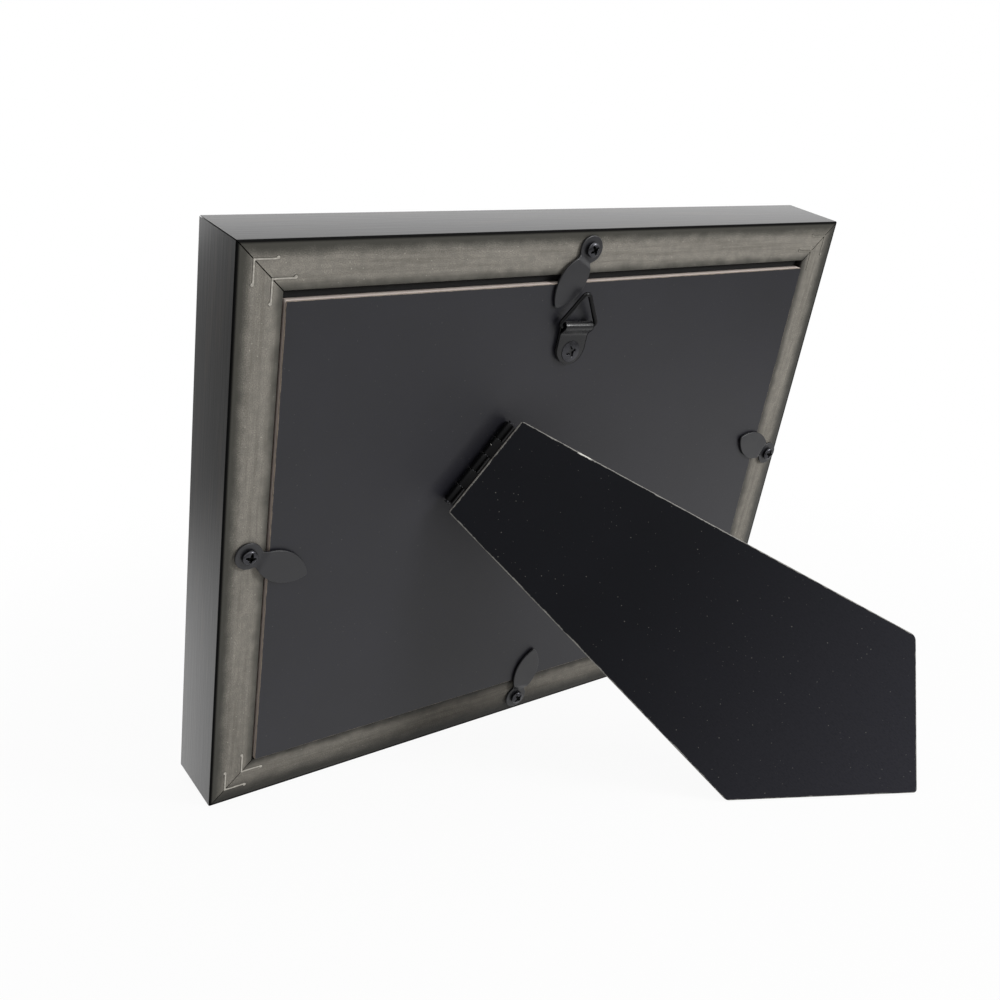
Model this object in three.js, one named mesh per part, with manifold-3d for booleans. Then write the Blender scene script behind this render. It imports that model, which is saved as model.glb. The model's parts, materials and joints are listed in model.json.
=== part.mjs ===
// Guitar pick display frame: a mitred wooden frame that stands on a hinged strut or hangs on a ring.
//
// Everything is modelled in the frame's own upright axes, seen from the back, in millimetres:
// x to the right, y up from the frame's underside, z out of its back, with x = 0 at mid width.
// The last group leans the frame back on its strut and turns it so that its front faces -Y.
// Left and right in names are as seen from the back, where all the fittings are.

import * as THREE from "three";
import { mergeVertices } from "three/addons/utils/BufferGeometryUtils.js";
import Module from "manifold-3d";

const wasm = await Module();
wasm.setup();

// Frame moulding.
const FRAME_WIDTH = 231;
const FRAME_HEIGHT = 180;
const FRAME_DEPTH = 23;
const RAIL_BACK_WIDTH = 13.7;
const LIP_WIDTH = 6;
const BACK_ARRIS = 0.5;
const INNER_ARRIS = 0.4;
const FRONT_ROUND = 0.8;
const SIGHT_STEP_WIDTH = 4;
const SIGHT_STEP_DEPTH = 2.5;

// Gaps: between pieces that touch, around the sheets in the rebate, and round nails and screws in wood.
// The backing board is cut shorter than the sheets before it and stands on the lower rail.
const SEAT_GAP = 0.3;
const SHEET_CLEARANCE = 0.75;
const BOARD_CLEARANCE = 0.5;
const BOARD_TOP_GAP = 2.5;
const DRIVEN_CLEARANCE = 0.12;

// Sheets in the rebate, from the front, and how far the last one stands out of it.
const GLAZING_THICKNESS = 2;
const MAT_THICKNESS = 1.5;
const MOUNT_THICKNESS = 3;
const BACKING_THICKNESS = 3;
const BACKING_PROUD = 0.8;

// Guitar picks and their windows in the mat.
const PICK_WIDTH = 26;
const PICK_HEIGHT = 30;
const PICK_THICKNESS = 1;
const PICK_BEVEL = 0.15;
const PICK_SHOULDER_RADIUS = 7;
const PICK_TIP_RADIUS = 2.6;
const PICK_CROWN = 0.8;
const PICK_BOW = THREE.MathUtils.degToRad(9);
const PICK_COLUMNS = 4;
const PICK_ROWS = 3;
const PICK_COLUMN_PITCH = 44;
const PICK_ROW_PITCH = 42;
const WINDOW_CLEARANCE = 0.6;

// Corner nails: two to a mitre, driven in from the back.
const NAIL_INSETS = [5.0, 10.3];
const NAIL_ARM = 6.6;
const NAIL_SHEET = 0.5;
const NAIL_BEAD_RADIUS = 0.5;
const NAIL_DEPTH = 8;
const NAIL_PROUD = 0.1;

// Hinge between the backing board and the strut.
const HINGE_ACROSS = -31.9;
const HINGE_HEIGHT = 108;
const HINGE_SKEW = THREE.MathUtils.degToRad(40);
const OPEN_ANGLE = THREE.MathUtils.degToRad(42);
const HINGE_LENGTH = 31;
const KNUCKLES = 5;
const PIN_RADIUS = 0.8;
const PIN_HEAD_RADIUS = 1.2;
const PIN_HEAD_THICKNESS = 0.4;
const PIN_CLEARANCE = 0.25;
const LEAF_SHEET = 0.6;
const LEAF_LENGTH = 18;
const STOP_LENGTH = 1.5;
const FIXED_RIVET_REACH = 7;
const STRUT_RIVET_REACH = 13;
const RIVET_SPACING = 18;
const RIVET_SHANK_RADIUS = 0.9;
const RIVET_HEAD_RADIUS = 2;
const RIVET_HEAD_HEIGHT = 0.7;
const RIVET_END_SKIN = 0.6;

// Strut board, with a right-angled foot that lines up with the frame when folded.
const STRUT_THICKNESS = 2.5;
const STRUT_SETBACK = 2;
const STRUT_TOP_WIDTH = 36;
const FOOT_EDGE_INSET = 9.5;
const FOOT_WIDTH = 62.2;
const FOOT_SIDE_HEIGHT = 50.4;
const STRUT_TOP_RADIUS = 0.8;
const FOOT_HEEL_RADIUS = 2.5;
const FOOT_TIP_RADIUS = 1.2;
const FOOT_SHOULDER_RADIUS = 3;

// Turn buttons: a round head under a screw and a lens-shaped wing that holds the board.
const BUTTON_HEAD_RADIUS = 4.25;
const BUTTON_WING_START = 1.5;
const BUTTON_REACH = 20.9;
const BUTTON_WING_HALF_WIDTH = 5.1;
const BUTTON_WING_TIP_RADIUS = 0.45;
const BUTTON_SHEET = 0.8;
const BUTTON_STEP_START = 3.6;
const BUTTON_STEP_LENGTH = 1.4;

// Screws of the turn buttons and the hanger.
const SCREW_SHANK_RADIUS = 1.3;
const SCREW_CLEARANCE = 0.3;
const PAN_HEAD_RADIUS = 2.35;
const PAN_HEAD_HEIGHT = 1.25;
const BUTTON_SCREW_BITE = 11;
const FLAT_HEAD_RADIUS = 3.5;
const FLAT_HEAD_HEIGHT = 1.6;
const FLAT_HEAD_CROWN = 0.6;
const CROSS_LENGTH = 3;
const CROSS_WIDTH = 0.7;
const CROSS_DEPTH = 1.0;

// Hanger: a strap folded round the base wire of a triangular ring.
const HANGER_ACROSS = -1.9;
const HANGER_FOLD_DROP = 29.6;
const HANGER_TURN = THREE.MathUtils.degToRad(-3.6);
const STRAP_WIDTH = 11.2;
const STRAP_SHEET = 0.6;
const STRAP_END_DROP = 12.8;
const STRAP_SCREW_DROP = 8.4;
const RING_WIRE_RADIUS = 0.7;
const RING_HEIGHT = 12;
const RING_CORNER_RADIUS = 1.0;
const RING_APEX_RADIUS = 1.5;
const RING_BUTT_GAP = 0.4;
const RING_RAISE = THREE.MathUtils.degToRad(7);
const WIRE_SIDES = 10;
const WIRE_STEPS = 110;

// Sizes that follow from the ones above.
const rebateDepth = GLAZING_THICKNESS + MAT_THICKNESS + MOUNT_THICKNESS + BACKING_THICKNESS
  + 4 * SEAT_GAP - BACKING_PROUD;
const rebateWidth = FRAME_WIDTH - 2 * RAIL_BACK_WIDTH;
const rebateHeight = FRAME_HEIGHT - 2 * RAIL_BACK_WIDTH;
const sheetWidth = rebateWidth - 2 * SHEET_CLEARANCE;
const sheetHeight = rebateHeight - 2 * SHEET_CLEARANCE;
const boardWidth = rebateWidth - 2 * BOARD_CLEARANCE;
const boardHeight = rebateHeight - BOARD_CLEARANCE - BOARD_TOP_GAP;
const boardMiddle = RAIL_BACK_WIDTH + BOARD_CLEARANCE + boardHeight / 2;
const glazingBack = SEAT_GAP + GLAZING_THICKNESS - rebateDepth;
const matBack = glazingBack + SEAT_GAP + MAT_THICKNESS;
const mountBack = matBack + SEAT_GAP + MOUNT_THICKNESS;
const knuckleRadius = PIN_RADIUS + PIN_CLEARANCE + LEAF_SHEET;
const hingeOut = BACKING_PROUD + SEAT_GAP + knuckleRadius;
const strutInside = knuckleRadius + SEAT_GAP;
const leafStart = knuckleRadius + SEAT_GAP;
const leafInside = knuckleRadius - LEAF_SHEET;
const lean = Math.atan(Math.sin(HINGE_SKEW) * Math.tan(OPEN_ANGLE / 2));
const foldOuterRadius = RING_WIRE_RADIUS + SEAT_GAP + STRAP_SHEET;
const foldOut = BACKING_PROUD + SEAT_GAP + foldOuterRadius;

// Plain materials, one to each kind of surface.
const oversprayedWood = { color: 0x77746b, roughness: 0.75, metalness: 0 };
const blackBoard = { color: 0x3c3c3f, roughness: 0.6, metalness: 0 };
const blackSteel = { color: 0x3f3f41, roughness: 0.45, metalness: 0.6 };
const nailSteel = { color: 0xb9b5ab, roughness: 0.4, metalness: 0.8 };
const clearSheet = { color: 0xdfe8ea, roughness: 0.05, metalness: 0 };
const matCard = { color: 0x1d1d1f, roughness: 0.9, metalness: 0 };
const mountCard = { color: 0xe9e5da, roughness: 0.9, metalness: 0 };
const pickColours = [0x7a3b14, 0xe6e2d6, 0x1c1c1e, 0xb3261e, 0x1f4e8c, 0xd98a1f];

// Turns a three.js geometry into a manifold solid.
function solidOf(geometry) {
  const bare = geometry.clone();
  bare.deleteAttribute("normal");
  bare.deleteAttribute("uv");
  const merged = mergeVertices(bare, 1e-5);
  const mesh = new wasm.Mesh({
    numProp: 3,
    vertProperties: new Float32Array(merged.attributes.position.array),
    triVerts: new Uint32Array(merged.index.array),
  });
  return new wasm.Manifold(mesh);
}

// Turns a manifold solid back into a flat-shaded three.js geometry.
function geometryOf(solid) {
  const mesh = solid.getMesh();
  const geometry = new THREE.BufferGeometry();
  geometry.setAttribute("position", new THREE.BufferAttribute(mesh.vertProperties, 3));
  geometry.setIndex(new THREE.BufferAttribute(mesh.triVerts, 1));
  const flat = geometry.toNonIndexed();
  flat.computeVertexNormals();
  return flat;
}

function joined(first, ...others) {
  return geometryOf(others.reduce((sum, next) => sum.add(solidOf(next)), solidOf(first)));
}

function cut(body, ...tools) {
  return geometryOf(tools.reduce((rest, tool) => rest.subtract(solidOf(tool)), solidOf(body)));
}

function common(first, second) {
  return geometryOf(solidOf(first).intersect(solidOf(second)));
}

// A flat piece: an outline in x and y, thickened from z = bottom to z = bottom + thickness.
function plate(shape, bottom, thickness) {
  const geometry = new THREE.ExtrudeGeometry(shape, { depth: thickness, bevelEnabled: false });
  geometry.translate(0, 0, bottom);
  return geometry;
}

// A round rod along y, centred on a given y.
function rodAlongY(radius, length, middle = 0, sides = 24) {
  const geometry = new THREE.CylinderGeometry(radius, radius, length, sides);
  geometry.translate(0, middle, 0);
  return geometry;
}

// A round rod along z between two heights, at a place in x and y.
function rodAlongZ(radius, from, to, x = 0, y = 0, sides = 24) {
  const geometry = new THREE.CylinderGeometry(radius, radius, to - from, sides);
  geometry.rotateX(Math.PI / 2);
  geometry.translate(x, y, (from + to) / 2);
  return geometry;
}

// A block between two corners.
function block(x0, y0, z0, x1, y1, z1) {
  const geometry = new THREE.BoxGeometry(x1 - x0, y1 - y0, z1 - z0);
  geometry.translate((x0 + x1) / 2, (y0 + y1) / 2, (z0 + z1) / 2);
  return geometry;
}

// A solid of revolution about z, from points given as radius and height that start and end on the axis.
function turned(profile, sides = 28) {
  const points = profile.map(([radius, height]) => new THREE.Vector2(radius, height));
  const geometry = new THREE.LatheGeometry(points, sides);
  geometry.rotateX(Math.PI / 2);
  return geometry;
}

// Points of the arc that rounds the corner between two straight edges.
function roundedCorner(before, corner, after, radius, steps) {
  const back = before.clone().sub(corner).normalize();
  const ahead = after.clone().sub(corner).normalize();
  const half = Math.acos(THREE.MathUtils.clamp(back.dot(ahead), -1, 1)) / 2;
  const bisector = back.clone().add(ahead).normalize();
  const centre = corner.clone().addScaledVector(bisector, radius / Math.sin(half));
  const start = corner.clone().addScaledVector(back, radius / Math.tan(half)).sub(centre);
  const end = corner.clone().addScaledVector(ahead, radius / Math.tan(half)).sub(centre);
  const sweep = Math.atan2(start.cross(end), start.dot(end));
  const points = [];
  for (let step = 0; step <= steps; step += 1) {
    const turnedPoint = start.clone().rotateAround(new THREE.Vector2(), (sweep * step) / steps);
    points.push(turnedPoint.add(centre));
  }
  return points;
}

// A closed outline through corners given as x, y and corner radius; a radius of 0 stays sharp.
function roundedOutline(corners, steps = 8) {
  const places = corners.map(([x, y]) => new THREE.Vector2(x, y));
  const points = [];
  corners.forEach(([, , radius], index) => {
    const before = places[(index + places.length - 1) % places.length];
    const after = places[(index + 1) % places.length];
    if (radius > 0) {
      points.push(...roundedCorner(before, places[index], after, radius, steps));
    } else {
      points.push(places[index]);
    }
  });
  return new THREE.Shape(points);
}

function rectangle(width, height) {
  return roundedOutline([
    [-width / 2, -height / 2, 0],
    [width / 2, -height / 2, 0],
    [width / 2, height / 2, 0],
    [-width / 2, height / 2, 0],
  ]);
}

// Moulding section: x runs inwards from the rail's outer edge and y out of the frame's back.
function railSection() {
  const lipEdge = RAIL_BACK_WIDTH + LIP_WIDTH;
  return roundedOutline([
    [0, 0, BACK_ARRIS],
    [0, -FRAME_DEPTH, FRONT_ROUND],
    [lipEdge - SIGHT_STEP_WIDTH, -FRAME_DEPTH, 0],
    [lipEdge - SIGHT_STEP_WIDTH, SIGHT_STEP_DEPTH - FRAME_DEPTH, SIGHT_STEP_DEPTH / 3],
    [lipEdge, SIGHT_STEP_DEPTH - FRAME_DEPTH, SIGHT_STEP_DEPTH / 5],
    [lipEdge, -rebateDepth, 0],
    [RAIL_BACK_WIDTH, -rebateDepth, 0],
    [RAIL_BACK_WIDTH, 0, INNER_ARRIS],
  ], 6);
}

// One rail along x with its outer edge down; both ends are mitred by moving them inwards.
function railGeometry(length) {
  const geometry = new THREE.ExtrudeGeometry(railSection(), { depth: length, bevelEnabled: false });
  const position = geometry.attributes.position;
  for (let index = 0; index < position.count; index += 1) {
    const inwards = position.getX(index);
    const out = position.getY(index);
    const trim = inwards + SEAT_GAP / Math.SQRT2;
    const along = position.getZ(index) > length / 2 ? length - trim : trim;
    position.setXYZ(index, along - length / 2, inwards, out);
  }
  geometry.computeVertexNormals();
  return geometry;
}

// The lowest point of the leaning frame: its rounded back arris, which bears on the table.
function heelHeight() {
  const heights = railSection().getPoints().map(
    (point) => point.x * Math.cos(lean) - point.y * Math.sin(lean),
  );
  return Math.min(...heights);
}

function meshOf(name, geometry, look) {
  const mesh = new THREE.Mesh(geometry, new THREE.MeshStandardMaterial(look));
  mesh.name = name;
  return mesh;
}

// A bent steel nail with beaded ends, its arms along +x and +y from the bend, grown by a margin.
function nailGeometry(margin) {
  const half = NAIL_SHEET / 2 + margin;
  const end = NAIL_ARM + margin;
  const foot = -NAIL_DEPTH - margin;
  const head = NAIL_PROUD + margin;
  const along = block(-half, -half, foot, end, half, head);
  const up = block(-half, -half, foot, half, end, head);
  const beadPlace = NAIL_SHEET / 2 - NAIL_BEAD_RADIUS;
  const beadRadius = NAIL_BEAD_RADIUS + margin;
  const endBead = rodAlongZ(beadRadius, foot, head, NAIL_ARM, beadPlace, 12);
  const topBead = rodAlongZ(beadRadius, foot, head, beadPlace, NAIL_ARM, 12);
  return joined(along, up, endBead, topBead);
}

// Two nails to each mitre, their bends on the mitre line and towards the outer corner.
function nailPlaces() {
  const corners = [
    { name: "bottom_left", right: -1, up: -1, turn: 0 },
    { name: "bottom_right", right: 1, up: -1, turn: Math.PI / 2 },
    { name: "top_right", right: 1, up: 1, turn: Math.PI },
    { name: "top_left", right: -1, up: 1, turn: -Math.PI / 2 },
  ];
  return corners.flatMap((corner) => NAIL_INSETS.map((inset, index) => ({
    name: `v_nail_${corner.name}_${index === 0 ? "outer" : "inner"}`,
    x: corner.right * (FRAME_WIDTH / 2 - inset),
    y: FRAME_HEIGHT / 2 + corner.up * (FRAME_HEIGHT / 2 - inset),
    turn: corner.turn,
  })));
}

function cornerNails() {
  const group = new THREE.Group();
  for (const place of nailPlaces()) {
    const nail = meshOf(place.name, nailGeometry(0), nailSteel);
    nail.position.set(place.x, place.y, 0);
    nail.rotation.z = place.turn;
    group.add(nail);
  }
  return group;
}

// What is driven into the rails, as tools that cut its slots and pilot holes.
function railTools() {
  const slots = nailPlaces().map((place) => {
    const slot = nailGeometry(DRIVEN_CLEARANCE);
    slot.rotateZ(place.turn);
    slot.translate(place.x, place.y, 0);
    return slot;
  });
  const radius = SCREW_SHANK_RADIUS + DRIVEN_CLEARANCE;
  const foot = -BUTTON_SCREW_BITE - DRIVEN_CLEARANCE;
  const pilots = buttonPlaces().map((place) => rodAlongZ(radius, foot, 1, place.x, place.y));
  return [...slots, ...pilots];
}

// Four mitred rails: the lower one is drawn and the others are turned about the frame's centre.
function rails() {
  const group = new THREE.Group();
  const tools = railTools();
  const sides = [
    { name: "bottom", turn: 0, length: FRAME_WIDTH, reach: FRAME_HEIGHT / 2 },
    { name: "right", turn: Math.PI / 2, length: FRAME_HEIGHT, reach: FRAME_WIDTH / 2 },
    { name: "top", turn: Math.PI, length: FRAME_WIDTH, reach: FRAME_HEIGHT / 2 },
    { name: "left", turn: -Math.PI / 2, length: FRAME_HEIGHT, reach: FRAME_WIDTH / 2 },
  ];
  for (const side of sides) {
    const rail = railGeometry(side.length);
    rail.translate(0, -side.reach, 0);
    rail.rotateZ(side.turn);
    rail.translate(0, FRAME_HEIGHT / 2, 0);
    group.add(meshOf(`rail_${side.name}`, cut(rail, ...tools), oversprayedWood));
  }
  return group;
}

// The point of a circle whose outward direction is a given angle.
function rimPoint(centre, radius, angle) {
  return new THREE.Vector2(Math.cos(angle), Math.sin(angle)).multiplyScalar(radius).add(centre);
}

// Where the tangents at two rim points meet, from the points and their outward angles.
function tangentsMeet(first, firstAngle, second, secondAngle) {
  const firstReach = first.x * Math.cos(firstAngle) + first.y * Math.sin(firstAngle);
  const secondReach = second.x * Math.cos(secondAngle) + second.y * Math.sin(secondAngle);
  const across = Math.sin(secondAngle - firstAngle);
  return new THREE.Vector2(
    (firstReach * Math.sin(secondAngle) - secondReach * Math.sin(firstAngle)) / across,
    (secondReach * Math.cos(firstAngle) - firstReach * Math.cos(secondAngle)) / across,
  );
}

// A pick's outline, tip down and centred, grown all round by a margin: three round corners
// joined by bowed sides that leave each corner PICK_BOW before the straight tangent would.
function pickOutline(margin) {
  const middle = -Math.PI / 2;
  const tip = new THREE.Vector2(0, PICK_TIP_RADIUS - PICK_HEIGHT / 2);
  const high = PICK_HEIGHT / 2 - PICK_SHOULDER_RADIUS - PICK_CROWN;
  const right = new THREE.Vector2(PICK_WIDTH / 2 - PICK_SHOULDER_RADIUS, high);
  const left = new THREE.Vector2(-right.x, high);
  const tipRadius = PICK_TIP_RADIUS + margin;
  const shoulderRadius = PICK_SHOULDER_RADIUS + margin;
  const apart = right.clone().sub(tip);
  const side = apart.angle() - Math.acos((tipRadius - shoulderRadius) / apart.length());
  const corners = [
    [tip, tipRadius, middle - (side - PICK_BOW - middle), side - PICK_BOW],
    [right, shoulderRadius, side + PICK_BOW, Math.PI / 2 - PICK_BOW],
    [left, shoulderRadius, Math.PI / 2 + PICK_BOW, Math.PI - side - PICK_BOW],
  ];
  const shape = new THREE.Shape();
  corners.forEach(([centre, radius, from, to], index) => {
    const [nextCentre, nextRadius, nextFrom] = corners[(index + 1) % corners.length];
    const nextAngle = index === 2 ? nextFrom + 2 * Math.PI : nextFrom;
    const leave = rimPoint(centre, radius, to);
    const arrive = rimPoint(nextCentre, nextRadius, nextAngle);
    const control = tangentsMeet(leave, to, arrive, nextAngle);
    shape.absarc(centre.x, centre.y, radius, from, to, false);
    shape.quadraticCurveTo(control.x, control.y, arrive.x, arrive.y);
  });
  return new THREE.Shape(withoutRepeats(shape.getPoints(6)));
}

// Leaves out each point that lies on the one before it.
function withoutRepeats(points) {
  return points.filter((point, index) => {
    const before = points[(index + points.length - 1) % points.length];
    return point.distanceTo(before) > 1e-4;
  });
}

// Middles of the picks, as columns and rows about the middle of the frame.
function pickPlaces() {
  const places = [];
  for (let row = 0; row < PICK_ROWS; row += 1) {
    for (let column = 0; column < PICK_COLUMNS; column += 1) {
      const x = (column - (PICK_COLUMNS - 1) / 2) * PICK_COLUMN_PITCH;
      const y = (row - (PICK_ROWS - 1) / 2) * PICK_ROW_PITCH;
      places.push(new THREE.Vector2(x, y));
    }
  }
  return places;
}

function matGeometry() {
  const shape = rectangle(sheetWidth, sheetHeight);
  for (const place of pickPlaces()) {
    const window = pickOutline(WINDOW_CLEARANCE).getPoints();
    window.forEach((point) => point.add(place));
    shape.holes.push(new THREE.Path(window));
  }
  return plate(shape, matBack - MAT_THICKNESS, MAT_THICKNESS);
}

// Each pick lies in its window on the mount board, its face towards the glazing.
function pickGeometry() {
  const geometry = new THREE.ExtrudeGeometry(pickOutline(-PICK_BEVEL), {
    depth: PICK_THICKNESS - 2 * PICK_BEVEL,
    bevelThickness: PICK_BEVEL,
    bevelSize: PICK_BEVEL,
    bevelSegments: 1,
  });
  geometry.translate(0, 0, matBack - PICK_THICKNESS + PICK_BEVEL);
  return geometry;
}

// The sheets that fill the rebate from the front, and the picks in the mat.
function contents() {
  const group = new THREE.Group();
  const sheet = rectangle(sheetWidth, sheetHeight);
  const glazing = plate(sheet, glazingBack - GLAZING_THICKNESS, GLAZING_THICKNESS);
  const mount = plate(sheet, mountBack - MOUNT_THICKNESS, MOUNT_THICKNESS);
  group.add(meshOf("glazing", glazing, clearSheet));
  group.add(meshOf("mat_board", matGeometry(), matCard));
  group.add(meshOf("mount_board", mount, mountCard));
  pickPlaces().forEach((place, index) => {
    const colour = pickColours[index % pickColours.length];
    const look = { color: colour, roughness: 0.25, metalness: 0 };
    const pick = meshOf(`pick_${index + 1}`, pickGeometry(), look);
    pick.position.set(place.x, place.y, 0);
    group.add(pick);
  });
  group.position.y = FRAME_HEIGHT / 2;
  return group;
}

// Places of two fasteners across the hinge, at one reach from its pin.
function rivetPlaces(reach) {
  return [new THREE.Vector2(reach, RIVET_SPACING / 2), new THREE.Vector2(reach, -RIVET_SPACING / 2)];
}

// The backing board, drilled for the hinge's rivets and the hanger's screw.
function backingGeometry() {
  const bottom = BACKING_PROUD - BACKING_THICKNESS;
  const board = plate(rectangle(boardWidth, boardHeight), bottom, BACKING_THICKNESS);
  board.translate(0, boardMiddle, 0);
  const drills = rivetPlaces(FIXED_RIVET_REACH).map((place) => {
    place.rotateAround(new THREE.Vector2(), -HINGE_SKEW);
    const radius = RIVET_SHANK_RADIUS + SEAT_GAP;
    const x = place.x + HINGE_ACROSS;
    const y = place.y + HINGE_HEIGHT;
    return rodAlongZ(radius, bottom - 1, BACKING_PROUD + 1, x, y);
  });
  const screw = flatScrewTool(SCREW_CLEARANCE);
  screw.translate(0, -STRAP_SCREW_DROP, 0);
  screw.rotateZ(HANGER_TURN);
  screw.translate(HANGER_ACROSS, FRAME_HEIGHT - HANGER_FOLD_DROP, foldOut);
  return cut(board, ...drills, screw);
}

// Ends of each knuckle along the pin, with a running gap between neighbours.
function knuckleSpans() {
  const pitch = HINGE_LENGTH / KNUCKLES;
  const spans = [];
  for (let index = 0; index < KNUCKLES; index += 1) {
    const from = index * pitch - HINGE_LENGTH / 2 + SEAT_GAP / 2;
    spans.push([from, from + pitch - SEAT_GAP]);
  }
  return spans;
}

// A hinge leaf that lies under the pin; every second knuckle from the first one is its own.
function leafGeometry(first, stop, rivetReach) {
  const half = HINGE_LENGTH / 2;
  const under = -knuckleRadius;
  const over = -leafInside;
  const pieces = [];
  knuckleSpans().forEach(([from, to], index) => {
    if (index % 2 === first) {
      pieces.push(rodAlongY(knuckleRadius, to - from, (from + to) / 2));
      pieces.push(block(-stop, from, under, leafStart + 1, to, over));
    }
  });
  const body = joined(block(leafStart, -half, under, LEAF_LENGTH, half, over), ...pieces);
  const bore = rodAlongY(PIN_RADIUS + PIN_CLEARANCE, HINGE_LENGTH + 2);
  const holes = rivetPlaces(rivetReach).map((place) =>
    rodAlongZ(RIVET_SHANK_RADIUS + SEAT_GAP, under - 1, over + 1, place.x, place.y));
  return cut(body, bore, ...holes);
}

// The fixed leaf carries a stop bar behind the pin, which the moving leaf's tails come to.
function fixedLeafGeometry() {
  const half = HINGE_LENGTH / 2;
  const reach = leafStart + STOP_LENGTH;
  const leaf = leafGeometry(0, reach, FIXED_RIVET_REACH);
  return joined(leaf, block(-reach, -half, -knuckleRadius, -leafStart, half, -leafInside));
}

// The moving leaf is the same pressing turned over, with tails that reach the stop when open.
function movingLeafGeometry() {
  const tail = (leafInside * (1 + Math.cos(OPEN_ANGLE)) - SEAT_GAP) / Math.sin(OPEN_ANGLE);
  const leaf = leafGeometry(1, tail, STRUT_RIVET_REACH);
  leaf.rotateX(Math.PI);
  return leaf;
}

function pinGeometry() {
  const end = HINGE_LENGTH / 2 + SEAT_GAP;
  const pin = turned([
    [0, -end - PIN_HEAD_THICKNESS],
    [PIN_HEAD_RADIUS, -end - PIN_HEAD_THICKNESS],
    [PIN_HEAD_RADIUS, -end],
    [PIN_RADIUS, -end],
    [PIN_RADIUS, end],
    [PIN_HEAD_RADIUS, end],
    [PIN_HEAD_RADIUS, end + PIN_HEAD_THICKNESS],
    [0, end + PIN_HEAD_THICKNESS],
  ], 16);
  pin.rotateX(-Math.PI / 2);
  return pin;
}

// A rivet with a domed head above z = 0 and its shank below.
function rivetGeometry(length) {
  return turned([
    [0, -length],
    [RIVET_SHANK_RADIUS, -length],
    [RIVET_SHANK_RADIUS, 0],
    [RIVET_HEAD_RADIUS, 0],
    [RIVET_HEAD_RADIUS * 0.8, RIVET_HEAD_HEIGHT * 0.7],
    [RIVET_HEAD_RADIUS * 0.4, RIVET_HEAD_HEIGHT],
    [0, RIVET_HEAD_HEIGHT],
  ], 20);
}

// A place on the folded strut, from the frame's axes to the hinge's.
function toHinge(x, y) {
  const place = new THREE.Vector2(x - HINGE_ACROSS, y - HINGE_HEIGHT);
  return place.rotateAround(new THREE.Vector2(), HINGE_SKEW);
}

// Height of the folded foot's lower edge that puts the open strut's inner arris on the table.
function footHeight() {
  const drop = (hingeOut - strutInside) * Math.sin(lean);
  return (drop + heelHeight()) / Math.cos(lean);
}

function strutGeometry() {
  const low = footHeight();
  const side = FRAME_WIDTH / 2 - FOOT_EDGE_INSET;
  const heel = toHinge(side - FOOT_WIDTH, low);
  const tip = toHinge(side, low);
  const shoulder = toHinge(side, low + FOOT_SIDE_HEIGHT);
  const half = STRUT_TOP_WIDTH / 2;
  const outline = roundedOutline([
    [STRUT_SETBACK, half, STRUT_TOP_RADIUS],
    [STRUT_SETBACK, -half, STRUT_TOP_RADIUS],
    [heel.x, heel.y, FOOT_HEEL_RADIUS],
    [tip.x, tip.y, FOOT_TIP_RADIUS],
    [shoulder.x, shoulder.y, FOOT_SHOULDER_RADIUS],
  ]);
  const board = plate(outline, strutInside, STRUT_THICKNESS);
  const depth = strutInside + STRUT_THICKNESS - RIVET_END_SKIN + SEAT_GAP;
  const holes = rivetPlaces(STRUT_RIVET_REACH).map((place) =>
    rodAlongZ(RIVET_SHANK_RADIUS + SEAT_GAP, strutInside - 1, depth, place.x, place.y));
  return cut(board, ...holes);
}

// The hinge and strut: x runs down the folded strut, y along the pin and z out of the back.
function strutAssembly() {
  const hinge = new THREE.Group();
  hinge.position.set(HINGE_ACROSS, HINGE_HEIGHT, hingeOut);
  hinge.rotation.z = -HINGE_SKEW;
  hinge.add(meshOf("hinge_fixed_leaf", fixedLeafGeometry(), blackSteel));
  hinge.add(meshOf("hinge_pin", pinGeometry(), blackSteel));
  const boardDepth = BACKING_THICKNESS - RIVET_END_SKIN + LEAF_SHEET + 2 * SEAT_GAP;
  rivetPlaces(FIXED_RIVET_REACH).forEach((place, index) => {
    const name = `board_rivet_${index === 0 ? "upper" : "lower"}`;
    const rivet = meshOf(name, rivetGeometry(boardDepth), blackSteel);
    rivet.position.set(place.x, place.y, SEAT_GAP - leafInside);
    hinge.add(rivet);
  });
  const swing = new THREE.Group();
  swing.rotation.y = -OPEN_ANGLE;
  swing.add(meshOf("hinge_moving_leaf", movingLeafGeometry(), blackSteel));
  swing.add(meshOf("strut", strutGeometry(), blackBoard));
  const strutDepth = STRUT_THICKNESS - RIVET_END_SKIN + LEAF_SHEET + 2 * SEAT_GAP;
  rivetPlaces(STRUT_RIVET_REACH).forEach((place, index) => {
    const name = `strut_rivet_${index === 0 ? "upper" : "lower"}`;
    const rivet = meshOf(name, rivetGeometry(strutDepth), blackSteel);
    rivet.rotation.x = Math.PI;
    rivet.position.set(place.x, place.y, leafInside - SEAT_GAP);
    swing.add(rivet);
  });
  hinge.add(swing);
  return hinge;
}

// A lens between two equal arcs, from inside the head's circle to the wing's blunt tip.
function wingOutline() {
  const half = (BUTTON_REACH - BUTTON_WING_START) / 2;
  const middle = BUTTON_WING_START + half;
  const radius = (half * half + BUTTON_WING_HALF_WIDTH ** 2) / (2 * BUTTON_WING_HALF_WIDTH);
  const offset = radius - BUTTON_WING_HALF_WIDTH;
  const spread = Math.asin(half / radius);
  const trim = BUTTON_WING_TIP_RADIUS / radius;
  const lower = [];
  for (let step = 0; step <= 12; step += 1) {
    const angle = -spread + ((2 * spread - trim) * step) / 12;
    lower.push([middle + radius * Math.sin(angle), offset - radius * Math.cos(angle)]);
  }
  const upper = lower.slice(1).reverse().map(([x, y]) => [x, -y]);
  return new THREE.Shape([...lower, ...upper].map(([x, y]) => new THREE.Vector2(x, y)));
}

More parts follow.
